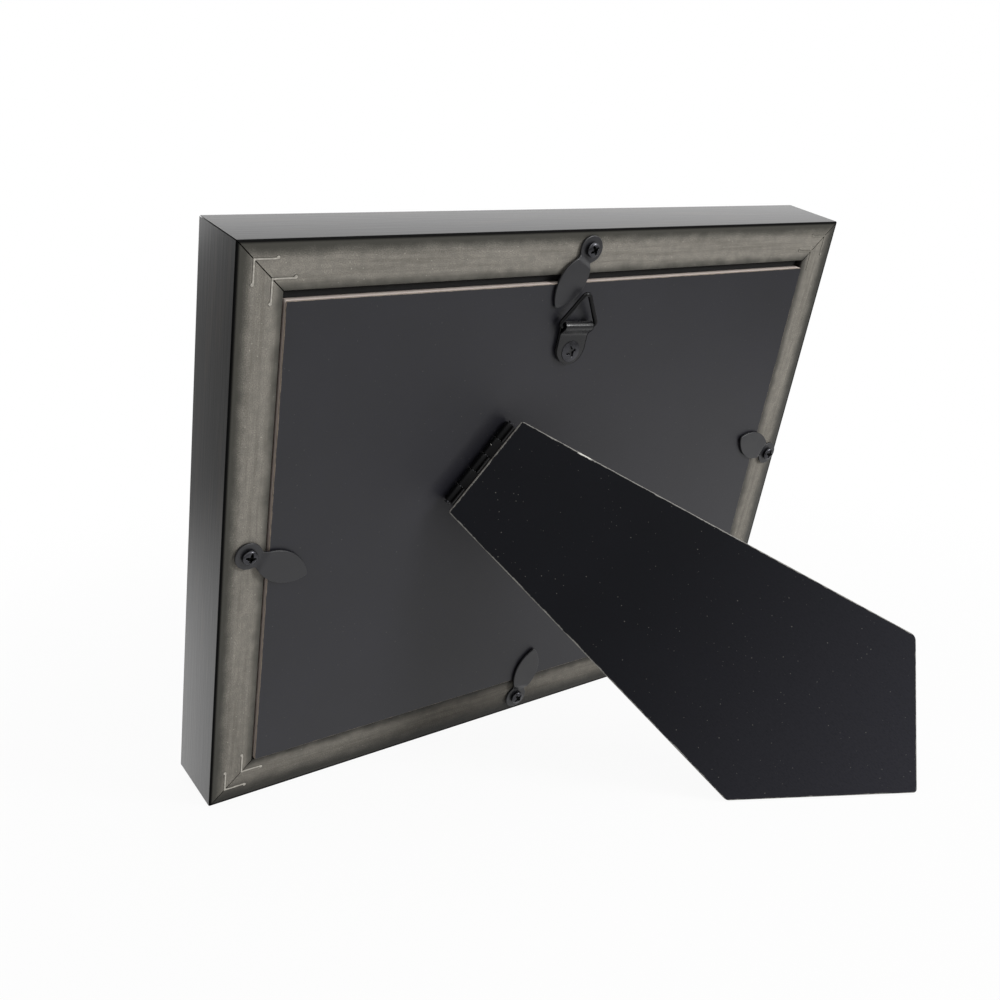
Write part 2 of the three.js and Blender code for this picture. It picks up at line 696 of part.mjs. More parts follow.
// A stepped button: its outline cut from a sheet that rises from the rail over the board.
function buttonGeometry() {
  const far = BUTTON_REACH + 1;
  const head = BUTTON_HEAD_RADIUS + 1;
  const step = BUTTON_STEP_START;
  const rise = step + BUTTON_STEP_LENGTH;
  const low = SEAT_GAP;
  const high = BACKING_PROUD + SEAT_GAP;
  const side = new THREE.Shape([
    new THREE.Vector2(-head, low),
    new THREE.Vector2(step, low),
    new THREE.Vector2(rise, high),
    new THREE.Vector2(far, high),
    new THREE.Vector2(far, high + BUTTON_SHEET),
    new THREE.Vector2(rise, high + BUTTON_SHEET),
    new THREE.Vector2(step, low + BUTTON_SHEET),
    new THREE.Vector2(-head, low + BUTTON_SHEET),
  ]);
  const width = 2 * (BUTTON_WING_HALF_WIDTH + BUTTON_HEAD_RADIUS);
  const sheet = new THREE.ExtrudeGeometry(side, { depth: width, bevelEnabled: false });
  sheet.translate(0, 0, -width / 2);
  sheet.rotateX(Math.PI / 2);
  const tall = high + BUTTON_SHEET + 2;
  const wing = plate(wingOutline(), -1, tall);
  const disc = rodAlongZ(BUTTON_HEAD_RADIUS, -1, tall - 1, 0, 0, 36);
  const hole = rodAlongZ(SCREW_SHANK_RADIUS + SCREW_CLEARANCE, -2, tall);
  return cut(common(sheet, joined(wing, disc)), hole);
}

// A cross slot for a screwdriver, cut down from a given height.
function crossSlot(top) {
  const long = CROSS_LENGTH / 2;
  const thin = CROSS_WIDTH / 2;
  return [
    block(-long, -thin, top - CROSS_DEPTH, long, thin, top + 1),
    block(-thin, -long, top - CROSS_DEPTH, thin, long, top + 1),
  ];
}

// A pan-headed wood screw whose head sits over the button.
function panScrewGeometry() {
  const seat = 2 * SEAT_GAP + BUTTON_SHEET;
  const top = seat + PAN_HEAD_HEIGHT;
  const body = turned([
    [0, -BUTTON_SCREW_BITE],
    [SCREW_SHANK_RADIUS, SCREW_SHANK_RADIUS * 2 - BUTTON_SCREW_BITE],
    [SCREW_SHANK_RADIUS, seat],
    [PAN_HEAD_RADIUS, seat],
    [PAN_HEAD_RADIUS, seat + PAN_HEAD_HEIGHT * 0.45],
    [PAN_HEAD_RADIUS * 0.86, seat + PAN_HEAD_HEIGHT * 0.8],
    [PAN_HEAD_RADIUS * 0.5, top],
    [0, top],
  ]);
  return cut(body, ...crossSlot(top));
}

// Where each button turns, how far along its rail, and which way its wing points at rest.
function buttonPlaces() {
  const side = FRAME_WIDTH / 2;
  const middle = FRAME_HEIGHT / 2;
  return [
    { name: "top", x: -0.1, y: FRAME_HEIGHT - 5.9, points: -122 },
    { name: "left", x: 8 - side, y: middle - 0.7, points: -27 },
    { name: "bottom", x: 3.2, y: 6.2, points: 79 },
    { name: "right", x: side - 5.5, y: middle - 0.4, points: 153.5 },
  ];
}

function turnButtons() {
  const group = new THREE.Group();
  for (const place of buttonPlaces()) {
    const button = meshOf(`turn_button_${place.name}`, buttonGeometry(), blackSteel);
    button.position.set(place.x, place.y, 0);
    button.rotation.z = THREE.MathUtils.degToRad(place.points);
    group.add(button);
    const screw = meshOf(`button_screw_${place.name}`, panScrewGeometry(), blackSteel);
    screw.position.set(place.x, place.y, 0);
    screw.rotation.z = THREE.MathUtils.degToRad(place.points / 2);
    group.add(screw);
  }
  return group;
}

// The strap's screw, its crown just above the strap, and the same shape grown as a cutting tool.
function flatScrewTool(grow) {
  const strapTop = 2 * STRAP_SHEET - foldOuterRadius;
  const seat = strapTop + FLAT_HEAD_CROWN;
  const end = BACKING_THICKNESS - RIVET_END_SKIN + SEAT_GAP;
  const tip = -foldOuterRadius - end - grow;
  return turned([
    [0, tip],
    [SCREW_SHANK_RADIUS + grow, tip],
    [SCREW_SHANK_RADIUS + grow, seat - FLAT_HEAD_HEIGHT - grow],
    [FLAT_HEAD_RADIUS + grow, seat - FLAT_HEAD_CROWN - grow / 2],
    [FLAT_HEAD_RADIUS + grow, strapTop + grow],
    [FLAT_HEAD_RADIUS / 2, seat + grow],
    [0, seat + grow],
  ]);
}

function strapScrewGeometry() {
  const top = 2 * STRAP_SHEET - foldOuterRadius + FLAT_HEAD_CROWN;
  return cut(flatScrewTool(0), ...crossSlot(top));
}

// A strap of two layers with a round fold at one end and a round end at the other.
function strapGeometry() {
  const half = STRAP_WIDTH / 2;
  const depth = foldOuterRadius;
  const length = STRAP_END_DROP;
  const outline = roundedOutline([
    [half, depth + 1, 0],
    [-half, depth + 1, 0],
    [-half, -length, half * 0.999],
    [half, -length, half * 0.999],
  ], 12);
  const layers = block(-half, -length, -depth, half, 0, 2 * STRAP_SHEET - depth);
  const fold = rodAlongY(depth, STRAP_WIDTH, 0, 28);
  fold.rotateZ(Math.PI / 2);
  const bore = rodAlongY(depth - STRAP_SHEET, STRAP_WIDTH + 2, 0, 24);
  bore.rotateZ(Math.PI / 2);
  const screw = flatScrewTool(SCREW_CLEARANCE);
  screw.translate(0, -STRAP_SCREW_DROP, 0);
  return cut(common(joined(layers, fold), plate(outline, -depth - 1, 2 * depth + 2)), bore, screw);
}

// The ring's wire runs from a butt inside the fold, round the triangle and back to the butt.
function ringGeometry() {
  const slope = Math.atan2(RING_HEIGHT, STRAP_WIDTH / 2 + RING_HEIGHT / 4);
  const tangent = RING_CORNER_RADIUS / Math.tan((slope) / 2);
  const base = STRAP_WIDTH / 2 + SEAT_GAP + tangent;
  const corners = [
    [RING_BUTT_GAP / 2, 0, 0],
    [base, 0, RING_CORNER_RADIUS],
    [0, RING_HEIGHT, RING_APEX_RADIUS],
    [-base, 0, RING_CORNER_RADIUS],
    [-RING_BUTT_GAP / 2, 0, 0],
  ];
  const path = new THREE.CurvePath();
  const points = roundedOutline(corners, 6).getPoints();
  for (let index = 0; index + 1 < points.length; index += 1) {
    const from = new THREE.Vector3(points[index].x, points[index].y, 0);
    const to = new THREE.Vector3(points[index + 1].x, points[index + 1].y, 0);
    if (from.distanceTo(to) > 1e-6) {
      path.add(new THREE.LineCurve3(from, to));
    }
  }
  const wire = new THREE.Shape();
  wire.absarc(0, 0, RING_WIRE_RADIUS, 0, 2 * Math.PI);
  const settings = { steps: WIRE_STEPS, curveSegments: WIRE_SIDES / 2, extrudePath: path };
  return new THREE.ExtrudeGeometry(wire, settings);
}

// The hanger: x runs along the fold, y up to the ring's apex and z out of the back.
function hanger() {
  const group = new THREE.Group();
  group.position.set(HANGER_ACROSS, FRAME_HEIGHT - HANGER_FOLD_DROP, foldOut);
  group.rotation.z = HANGER_TURN;
  group.add(meshOf("hanger_strap", strapGeometry(), blackSteel));
  const screw = meshOf("hanger_screw", strapScrewGeometry(), blackSteel);
  screw.position.y = -STRAP_SCREW_DROP;
  group.add(screw);
  const ring = meshOf("hanger_ring", ringGeometry(), blackSteel);
  ring.rotation.x = RING_RAISE;
  group.add(ring);
  return group;
}

// The upright frame, leant back until its strut's foot and its lower back arris are on the table.
const upright = new THREE.Group();
upright.add(rails(), cornerNails(), contents());
upright.add(meshOf("backing_board", backingGeometry(), blackBoard));
upright.add(strutAssembly(), turnButtons(), hanger());
const acrossAxis = new THREE.Vector3(-1, 0, 0);
const upAxis = new THREE.Vector3(0, Math.sin(lean), Math.cos(lean));
const outAxis = new THREE.Vector3(0, Math.cos(lean), -Math.sin(lean));
upright.setRotationFromMatrix(new THREE.Matrix4().makeBasis(acrossAxis, upAxis, outAxis));

// The origin is under the middle of the whole object's box, on the table.
const part = new THREE.Group();
part.add(upright);
part.updateMatrixWorld(true);
const box = new THREE.Box3().setFromObject(part, true);
upright.position.x -= (box.min.x + box.max.x) / 2;
upright.position.y -= (box.min.y + box.max.y) / 2;
upright.position.z -= box.min.z;

export default part;
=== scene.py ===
# %% [markdown]
# A guitar pick display frame, seen from behind.
#
# The object is a small mitred frame of painted wood. Behind its glass lie a card mat and twelve
# guitar picks, and a hardboard back holds them in. On the back are four pressed steel turn
# buttons, a strap with a triangular ring to hang it by, and a hinged strut to stand it on.
# The measured model comes packed, and every piece below is built around it in the same place.

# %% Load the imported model
import json
import math

import bpy
import numpy as np
from mathutils import Matrix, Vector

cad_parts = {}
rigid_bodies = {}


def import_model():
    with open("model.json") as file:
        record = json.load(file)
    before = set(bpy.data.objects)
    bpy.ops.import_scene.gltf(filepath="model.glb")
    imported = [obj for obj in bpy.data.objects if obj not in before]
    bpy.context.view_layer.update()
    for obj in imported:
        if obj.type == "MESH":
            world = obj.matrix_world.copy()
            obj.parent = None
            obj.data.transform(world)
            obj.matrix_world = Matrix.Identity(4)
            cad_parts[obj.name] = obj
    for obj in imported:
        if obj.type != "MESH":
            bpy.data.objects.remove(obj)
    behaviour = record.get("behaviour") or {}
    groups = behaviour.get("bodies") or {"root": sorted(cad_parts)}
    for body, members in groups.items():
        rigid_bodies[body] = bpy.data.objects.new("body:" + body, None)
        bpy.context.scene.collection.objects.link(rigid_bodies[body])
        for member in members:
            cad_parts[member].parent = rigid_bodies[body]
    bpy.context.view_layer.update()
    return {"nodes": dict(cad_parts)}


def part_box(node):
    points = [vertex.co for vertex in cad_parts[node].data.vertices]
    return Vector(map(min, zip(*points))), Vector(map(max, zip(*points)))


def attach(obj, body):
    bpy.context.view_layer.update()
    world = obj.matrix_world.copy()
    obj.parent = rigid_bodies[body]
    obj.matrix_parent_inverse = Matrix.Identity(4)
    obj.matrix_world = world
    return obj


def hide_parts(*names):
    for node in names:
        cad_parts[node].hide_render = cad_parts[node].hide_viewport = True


for leftover in list(bpy.data.objects):
    bpy.data.objects.remove(leftover)
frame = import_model()
nodes = frame["nodes"]

# %% [markdown]
# The camera stands where the photographer stood: behind the frame, to its left, a little above
# it. Its place, direction and lens were worked out from twelve corners of the object, so it is
# set by numbers. A camera could also track an empty, but that can't hold a roll of a quarter
# degree. Blender's camera looks along its own -Z, so its three axes are columns of a matrix.

# %% Camera
CAMERA_PLACE = (0.23937, 0.26383, 0.19003)
CAMERA_AZIMUTH = math.radians(216.840)
CAMERA_ELEVATION = math.radians(-15.446)
CAMERA_ROLL = math.radians(0.232)
CAMERA_LENS, CAMERA_SENSOR, CAMERA_CLIP = 42.246, 36.0, 0.01


def camera_axes(azimuth, elevation, roll):
    """Right, up and forward: forward from the two angles, right level, both turned by roll."""
    forward = np.array([math.sin(azimuth) * math.cos(elevation),
                        math.cos(azimuth) * math.cos(elevation), math.sin(elevation)])
    level = np.cross(forward, [0, 0, 1])
    level /= np.linalg.norm(level)
    upward = np.cross(level, forward)
    right = math.cos(roll) * level + math.sin(roll) * upward
    return right, math.cos(roll) * upward - math.sin(roll) * level, forward


def looking(place, right, upward, forward):
    """Matrix of a camera or a lamp: its columns are right, up and the opposite of forward."""
    axes = Matrix(np.array([right, upward, -forward]).T.tolist())
    return Matrix.Translation(place) @ axes.to_4x4()


def add_object(name, data):
    """A new object in the scene, made of the given camera, mesh or lamp."""
    thing = bpy.data.objects.new(name, data)
    bpy.context.scene.collection.objects.link(thing)
    return thing


camera = add_object("camera", bpy.data.cameras.new("camera"))
bpy.context.scene.camera = camera
right, upward, forward = camera_axes(CAMERA_AZIMUTH, CAMERA_ELEVATION, CAMERA_ROLL)
camera.matrix_world = looking(CAMERA_PLACE, right, upward, forward)
camera.data.lens, camera.data.sensor_width = CAMERA_LENS, CAMERA_SENSOR
camera.data.clip_start = CAMERA_CLIP
print("camera", CAMERA_PLACE, "lens", CAMERA_LENS)

# %% [markdown]
# The frame leans back on its strut, but it is easier to shape upright. So each piece is drawn
# in the frame's own axes in millimetres: x to the right as seen from the back, y up from the
# frame's underside, z out of the back. One matrix takes these points to the leaning frame.
# The lean follows from the strut: a hinge turned by 40 degrees that opens by 42.

# %% The frame's own axes
FRAME_WIDTH, FRAME_HEIGHT = 231.0, 180.0
HINGE_SKEW = math.radians(40)
OPEN_ANGLE = math.radians(42)
GLAZING_MIDDLE = -8.6
lean = math.atan(math.sin(HINGE_SKEW) * math.tan(OPEN_ANGLE / 2))
UPRIGHT = np.array([[-1, 0, 0],
                    [0, math.sin(lean), math.cos(lean)],
                    [0, math.cos(lean), -math.sin(lean)]])
low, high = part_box("glazing")
ORIGIN = (np.array(low) + np.array(high)) * 500 - UPRIGHT @ [0, FRAME_HEIGHT / 2, GLAZING_MIDDLE]


def to_world(points):
    """Upright millimetres to leaning metres: turn by the matrix, move, divide by 1000."""
    return (np.asarray(points, float) @ UPRIGHT.T + ORIGIN) / 1000


print("lean", round(math.degrees(lean), 2), "degrees; origin", ORIGIN.round(3), "mm")

# %% [markdown]
# Most pieces are a grid of points: rows along the piece and columns round it. A grid can be
# joined into quads by counting, so no face is drawn by hand. Where a grid ends in a flat face,
# one polygon closes it. The signed volume of the closed mesh says which way its faces point.

# %% From grids to meshes
SHARP_ABOVE = math.radians(35)


def grid_quads(rows, columns, close_rows=False, close_columns=True):
    """Corner numbers of the squares of a grid stored row by row, wrapped round where closed."""
    row, column = np.meshgrid(
        np.arange(rows if close_rows else rows - 1),
        np.arange(columns if close_columns else columns - 1), indexing="ij")
    below, beside = (row + 1) % rows, (column + 1) % columns
    corners = [row * columns + column, row * columns + beside,
               below * columns + beside, below * columns + column]
    return np.stack(corners, -1).reshape(-1, 4)


def end_caps(rows, columns):
    """One polygon over the first row and one over the last."""
    return [list(range(columns))[::-1], list(range((rows - 1) * columns, rows * columns))]


def grid_mesh(grid, ring=False):
    """Points and faces of a grid whose columns go round. In a ring the last row joins the
    first, and otherwise each end is closed by a polygon."""
    rows, columns = grid.shape[:2]
    faces = grid_quads(rows, columns, close_rows=ring).tolist()
    return grid.reshape(-1, 3), faces if ring else faces + end_caps(rows, columns)


def signed_volume(points, faces):
    """Sum over each face's fan of triangles of corner . (corner x corner) / 6."""
    total = 0.0
    for size in {len(face) for face in faces}:
        fans = points[np.array([face for face in faces if len(face) == size])]
        first = np.repeat(fans[:, :1], size - 2, 1)
        total += np.einsum("fij,fij->", first, np.cross(fans[:, 1:-1], fans[:, 2:])) / 6
    return total


def turned_about(points, axis, angle):
    """A right-handed turn about x, y or z through the origin."""
    first, second = {"x": (1, 2), "y": (2, 0), "z": (0, 1)}[axis]
    points = np.asarray(points, float)
    result, cosine, sine = points.copy(), math.cos(angle), math.sin(angle)
    result[..., first] = cosine * points[..., first] - sine * points[..., second]
    result[..., second] = sine * points[..., first] + cosine * points[..., second]
    return result


def turn_matrix(axis, angle):
    """The same turn as a matrix: its columns are the turned axes."""
    return turned_about(np.eye(3), axis, angle).T


def new_piece(name, points, faces, material, body, stands_for, values=None):
    """A mesh from upright points and faces, smooth but for its sharp edges. It rides on a body,
    stands for the named CAD nodes and may carry named values, one to each point."""
    points = np.asarray(points, float).reshape(-1, 3)
    faces = [list(map(int, face)) for face in faces]
    placed = to_world(points)
    if signed_volume(placed, faces) < 0:
        faces = [face[::-1] for face in faces]
    mesh = bpy.data.meshes.new(name)
    mesh.from_pydata(placed.tolist(), [], faces)
    mesh.shade_smooth()
    mesh.set_sharp_from_angle(angle=SHARP_ABOVE)
    for label, value in (values or {}).items():
        mesh.attributes.new(label, "FLOAT", "POINT").data.foreach_set(
            "value", np.asarray(value, np.float32).ravel())
    mesh.materials.append(material)
    piece = add_object(name, mesh)
    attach(piece, body)
    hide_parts(*stands_for)
    print(f"{name}: {len(points)} points, {len(faces)} faces,",
          f"{abs(signed_volume(points, faces)):.1f} mm3")


# %% [markdown]
# A finish is a small tree of nodes. One helper adds a node with its settings and links, and
# another turns the hex colours that a paint chart gives into the linear numbers Blender wants.
# The rest are built on these two, and find the tree through the socket that they are given.
# Patterns read Object coordinates. A Mapping node turns them into the upright millimetres of
# the frame, so a 0.4 mm speckle is written as 0.4.

# %% Helpers for finishes
def linear(hex_colour):
    """sRGB hex to linear: v / 12.92 below 0.04045, else ((v + 0.055) / 1.055) ** 2.4."""
    values = [int(hex_colour[start:start + 2], 16) / 255 for start in (0, 2, 4)]
    return tuple(v / 12.92 if v < 0.04045 else ((v + 0.055) / 1.055) ** 2.4 for v in values) + (1,)


def new_material(name):
    """A material with its node tree and its Principled BSDF node."""
    material = bpy.data.materials.new(name)
    material.use_nodes = True
    return material, material.node_tree, material.node_tree.nodes["Principled BSDF"]


def connect(node, links):
    """Gives each socket named in links its value, or the other node's socket that feeds it."""
    for socket, value in links.items():
        if isinstance(value, bpy.types.NodeSocket):
            node.id_data.links.new(value, node.inputs[socket])
        else:
            node.inputs[socket].default_value = value


def add(tree, kind, links=None, **settings):
    """One node: settings are its properties, and links goes to its sockets."""
    node = tree.nodes.new(kind)
    for name, value in settings.items():
        setattr(node, name, value)
    connect(node, links or {})
    return node


def own_coordinates(tree, turn=None, shift=(0, 0, 0)):
    """Object coordinates taken to upright millimetres, then turned and shifted: T U (p - o) + s."""
    turn = np.eye(3) if turn is None else np.asarray(turn)
    matrix = turn @ UPRIGHT.T
    place = np.asarray(shift) - matrix @ ORIGIN
    source = add(tree, "ShaderNodeTexCoord").outputs["Object"]
    return add(tree, "ShaderNodeMapping", {
        "Vector": source, "Location": place.tolist(), "Scale": (1000, 1000, 1000),
        "Rotation": Matrix(matrix.tolist()).to_euler("XYZ")}).outputs["Vector"]


def split(vector):
    """The X, Y and Z of a vector, as three sockets."""
    return add(vector.id_data, "ShaderNodeSeparateXYZ", {"Vector": vector}).outputs


def stretched(vector, scale):
    """A pattern's coordinates, multiplied along each axis."""
    return add(vector.id_data, "ShaderNodeVectorMath", {0: vector, 1: scale},
               operation="MULTIPLY").outputs["Vector"]


def noise(vector, grain, detail=3.0, roughness=0.55, distortion=0.0):
    """Soft noise whose spots are about one grain in millimetres across: scale = 1 / grain."""
    return add(vector.id_data, "ShaderNodeTexNoise", {
        "Vector": vector, "Scale": 1 / grain, "Detail": detail, "Roughness": roughness,
        "Distortion": distortion}).outputs["Fac"]


def between(value, start, end, low=0.0, high=1.0):
    """Value taken smoothly from low at start to high at end, and held beyond them."""
    return add(value.id_data, "ShaderNodeMapRange", {
        "Value": value, "From Min": start, "From Max": end, "To Min": low, "To Max": high},
        interpolation_type="SMOOTHSTEP").outputs["Result"]


def maths(operation, first, *others):
    """One operation on a socket and each of the others in turn, from left to right."""
    for other in others:
        first = add(first.id_data, "ShaderNodeMath", {0: first, 1: other},
                    operation=operation).outputs[0]
    return first


def wander(pattern, width):
    """A pattern of 0 to 1 as a shift to either side: (pattern - 0.5) width."""
    return maths("MULTIPLY", maths("SUBTRACT", pattern, 0.5), width)


def mixed(share, first, second):
    """Two colours blended by a share; each may be a hex string or a socket."""
    first, second = (linear(c) if isinstance(c, str) else c for c in (first, second))
    return add(share.id_data, "ShaderNodeMix", {"Factor": share, "A": first, "B": second},
               data_type="RGBA").outputs["Result"]


def layered(colour, *layers):
    """A colour with others laid over it. Each layer is a pattern, the two levels between which
    the layer comes in, the greatest share it takes and its own colour."""
    for pattern, start, end, share, coat in layers:
        colour = mixed(between(pattern, start, end, 0.0, share), colour, coat)
    return colour


def bump(height, distance):
    """Surface relief from a height of 0 to 1, its depth in metres."""
    return add(height.id_data, "ShaderNodeBump",
               {"Height": height, "Distance": distance}).outputs["Normal"]


print("finish helpers ready")

# %% [markdown]
# The rails are one softwood moulding, cut at 45 degrees and lacquered satin black. Only the
# face and sides are meant to be seen, so the back gets no more than the mist that drifts round
# from the spray gun: a dark band by the outer edge, a thin one by the rebate, and grey-beige
# speckled wood between them. The mist is darkest and widest on the bottom rail and narrower
# on the others: overspray, and on the bottom rail also painted shade from the strut. The
# shape comes from the CAD. The finish needs to know how far in from the outer edge a point is,
# so each rail has its own turn of the pattern.

# %% Rail finish
LACQUER, LACQUER_WORN, LACQUER_BROWN, ARRIS_SHADE = "1c1c1d", "3a3936", "332e2a", "0f0f0f"
BARE_WOOD, WOOD_DARK, WOOD_STREAK, WOOD_FLECK = "98938a", "73706a", "55524b", "bdb8ae"
RAIL_BACK_WIDTH = 13.7


def sprayed_softwood(name, side_turn, reach, gloss, veil_and_shade, outer_mist, inner_mist, mist):
    """Satin black lacquer on softwood moulding, with its overspray fading over the bare back.
    Its axes are along the rail, inwards from its outer edge, and out of the back. gloss is
    how much clear coat is left on the lacquered sides, and the veil how much the mist hides of
    the bare wood, from 0 to 1. outer_mist and inner_mist say how far in the mist reaches from
    the outer edge and from the rebate, in millimetres, and mist is its colour there. A darker
    mist with a veil, as on the bottom rail, also paints shade."""
    material, tree, shader = new_material(name)
    back_turn = turn_matrix("z", -side_turn)
    middle = back_turn @ [0, FRAME_HEIGHT / 2, 0]
    place = own_coordinates(tree, back_turn, np.array([0, reach, 0]) - middle)
    inwards, out = split(place)[1:]
    speckle, cloud, mottle = noise(place, 0.35, 2.0, 0.7), noise(place, 2.6), noise(place, 7.0)
    grain = noise(stretched(place, (0.03, 1, 1)), 0.9, 4.0)
    streak = noise(stretched(place, (0.05, 1, 1)), 2.2, 3.0, 0.65)
    edge = maths("ADD", wander(mottle, 3.0), wander(speckle, 2.0), inwards)
    outer = between(edge, 1.7, outer_mist)
    inner = between(edge, RAIL_BACK_WIDTH + 0.4, RAIL_BACK_WIDTH - inner_mist)
    on_back = between(out, -0.75, -0.1)
    # Painted shade: a black line with little shine along the back's outer arris.
    arris_shade = maths("MULTIPLY", between(inwards, 1.3, 0.4), between(out, -0.6, -0.4))
    bare = maths("MULTIPLY", outer, inner, on_back)
    wood = layered(
        WOOD_DARK, (speckle, 0.28, 0.68, 1.0, BARE_WOOD), (cloud, 0.35, 0.7, 0.5, WOOD_DARK),
        (streak, 0.42, 0.66, 0.36, WOOD_STREAK), (grain, 0.3, 0.8, 0.3, WOOD_DARK),
        (noise(place, 0.6, 0.0), 0.78, 0.84, 0.6, WOOD_FLECK))
    paint = layered(LACQUER, (grain, 0.55, 0.8, 1.0, LACQUER_WORN),
                    (streak, 0.5, 0.68, 0.7, LACQUER_BROWN))
    colour = mixed(maths("MULTIPLY", bare, 1.0 - veil_and_shade), mixed(on_back, paint, mist), wood)
    rough = maths("MULTIPLY", on_back, 0.5, speckle)
    connect(shader, {
        "Base Color": mixed(arris_shade, colour, ARRIS_SHADE),
        "Specular IOR Level": maths("MULTIPLY", between(on_back, 0.0, 1.0, 0.5, 0.15),
                                    between(arris_shade, 0.0, 1.0, 1.0, 0.1)),
        "Roughness": between(bare, 0.0, 1.0, 0.3, 0.85),
        "Coat Weight": between(on_back, 0.0, 1.0, gloss, 0.0), "Coat Roughness": 0.14,
        "Normal": bump(maths("ADD", maths("MULTIPLY", grain, 0.5), rough), 0.00012)})
    return material


RAILS = {
    # On the bottom rail the darker mist and its veil also paint the shade that the strut casts.
    "bottom": dict(side_turn=0, reach=FRAME_HEIGHT / 2, gloss=0.2, veil_and_shade=0.12,
                   outer_mist=8.8, inner_mist=3.6, mist="2e2d29"),
    "right": dict(side_turn=math.pi / 2, reach=FRAME_WIDTH / 2, gloss=0.2, veil_and_shade=0.0,
                  outer_mist=6.4, inner_mist=4.0, mist="403f3b"),
    "top": dict(side_turn=math.pi, reach=FRAME_HEIGHT / 2, gloss=0.28, veil_and_shade=0.0,
                outer_mist=5.8, inner_mist=3.2, mist="44433e"),
    "left": dict(side_turn=-math.pi / 2, reach=FRAME_WIDTH / 2, gloss=0.4, veil_and_shade=0.0,
                 outer_mist=5.8, inner_mist=3.2, mist="44433e")}
for side, settings in RAILS.items():
    nodes[f"rail_{side}"].material_slots[0].material = sprayed_softwood(
        f"sprayed_softwood_{side}", **settings)
print("rails finished:", ", ".join(RAILS))

# %% [markdown]
# The CAD meshes come as loose triangles with flat shading. A round surface needs its triangles
# joined and shaded smoothly, while true corners stay sharp. The mesh itself isn't touched: a
# small geometry nodes modifier drops the stored normals, merges the corners that lie on each
# other and smooths every edge that turns by less than thirty degrees.

# %% Smooth shading for CAD nodes
MERGE_DISTANCE = 2e-6
SMOOTH_BELOW = math.radians(30)


def smoothing_group():
    """Geometry nodes: stored normals off, merge by distance, smooth where edges are shallow."""
    group = bpy.data.node_groups.new("smooth_shallow_edges", "GeometryNodeTree")
    for direction in ("INPUT", "OUTPUT"):
        group.interface.new_socket("Geometry", in_out=direction, socket_type="NodeSocketGeometry")
    source = add(group, "NodeGroupInput").outputs[0]
    bare = add(group, "GeometryNodeRemoveAttribute", {"Geometry": source, "Name": "custom_normal"})
    merged = add(group, "GeometryNodeMergeByDistance", {
        "Geometry": bare.outputs[0], "Distance": MERGE_DISTANCE}).outputs[0]
    faces = add(group, "GeometryNodeSetShadeSmooth", {
        "Geometry": merged, "Shade Smooth": True}, domain="FACE").outputs[0]
    turn = add(group, "GeometryNodeInputMeshEdgeAngle").outputs["Unsigned Angle"]
    shallow = add(group, "FunctionNodeCompare", {"A": turn, "B": SMOOTH_BELOW},
                  operation="LESS_THAN").outputs["Result"]
    edges = add(group, "GeometryNodeSetShadeSmooth", {
        "Geometry": faces, "Shade Smooth": shallow}, domain="EDGE").outputs[0]
    add(group, "NodeGroupOutput", {0: edges})
    return group


smoothing = smoothing_group()


def smooth(*names):
    """Adds the smoothing modifier to CAD nodes."""
    for name in names:
        nodes[name].modifiers.new("smooth", "NODES").node_group = smoothing


nail_names = sorted(name for name in nodes if name.startswith("v_nail"))
smooth(*[f"rail_{side}" for side in RAILS], *nail_names)
print("smoothed", len(RAILS), "rails and", len(nail_names), "nails")

# %% [markdown]
# The corner nails are bent strips of galvanised steel with curled ends, driven in across each
# mitre. Driving scuffs them, so the zinc is pale on its raised spots and dull between them. The
# spray reached the nails on the right, which are darker and hardly shine.

# %% Corner nails
def scuffed_zinc(name, dark, light, metallic):
    """Galvanised steel: spangled in spots of about 0.8 mm and scuffed by the driver. A coat of
    mist makes it less metallic."""
    material, tree, shader = new_material(name)
    spots = noise(own_coordinates(tree), 0.8, 2.0)
    connect(shader, {"Base Color": mixed(spots, dark, light), "Metallic": metallic,
                     "Roughness": between(spots, 0.3, 0.7, 0.35, 0.6)})
    return material


zinc = scuffed_zinc("scuffed_zinc", "8a867e", "cfcbc2", 0.85)
misted_zinc = scuffed_zinc("misted_zinc", "6f6c64", "8f8b82", 0.3)
for name in nail_names:
    nodes[name].material_slots[0].material = misted_zinc if "right" in name else zinc
print("nails finished:", len(nail_names))

# %% [markdown]
# The backing board and the strut are hardboard with black paper glued on. A plate is an outline
# in rings: the outline shrinks a little as it turns over each arris, and a polygon closes each
# face. Round corners come from arcs between the two straight edges. The cut edge shows the
# brown fibre, and where the paper is chafed along an arris the fibre shows as a pale line.

# %% Plates
FLAT_RING = 0.06


def rounded_outline(corners, steps=8):
    """Corners (x, y, radius) with each replaced by an arc that touches both of its edges:
    its centre lies on the bisector at radius / sin(half the corner)."""
    places = np.array([corner[:2] for corner in corners], float)
    arcs = []
    for index, (_, _, radius) in enumerate(corners):
        corner = places[index]
        back, ahead = places[index - 1] - corner, places[(index + 1) % len(places)] - corner
        back, ahead = back / np.linalg.norm(back), ahead / np.linalg.norm(ahead)
        half = math.acos(back @ ahead) / 2
        bisector = (back + ahead) / np.linalg.norm(back + ahead)
        centre = corner + bisector * radius / math.sin(half)
        start = corner + back * radius / math.tan(half) - centre
        end = corner + ahead * radius / math.tan(half) - centre
        sweep = math.atan2(start[0] * end[1] - start[1] * end[0], start @ end)
        angle = np.linspace(0, sweep, steps + 1)[:, None]
        arcs.append(centre + start * np.cos(angle) + start[::-1] * [-1, 1] * np.sin(angle))
    return np.concatenate(arcs)


def outward(outline):
    """Unit normals of an anticlockwise outline: the sum of its two edges' directions, turned."""
    edges = np.roll(outline, -1, 0) - outline
    edges /= np.linalg.norm(edges, axis=1)[:, None]
    tangent = edges + np.roll(edges, 1, 0)
    tangent /= np.linalg.norm(tangent, axis=1)[:, None]
    return np.stack([tangent[:, 1], -tangent[:, 0]], 1)


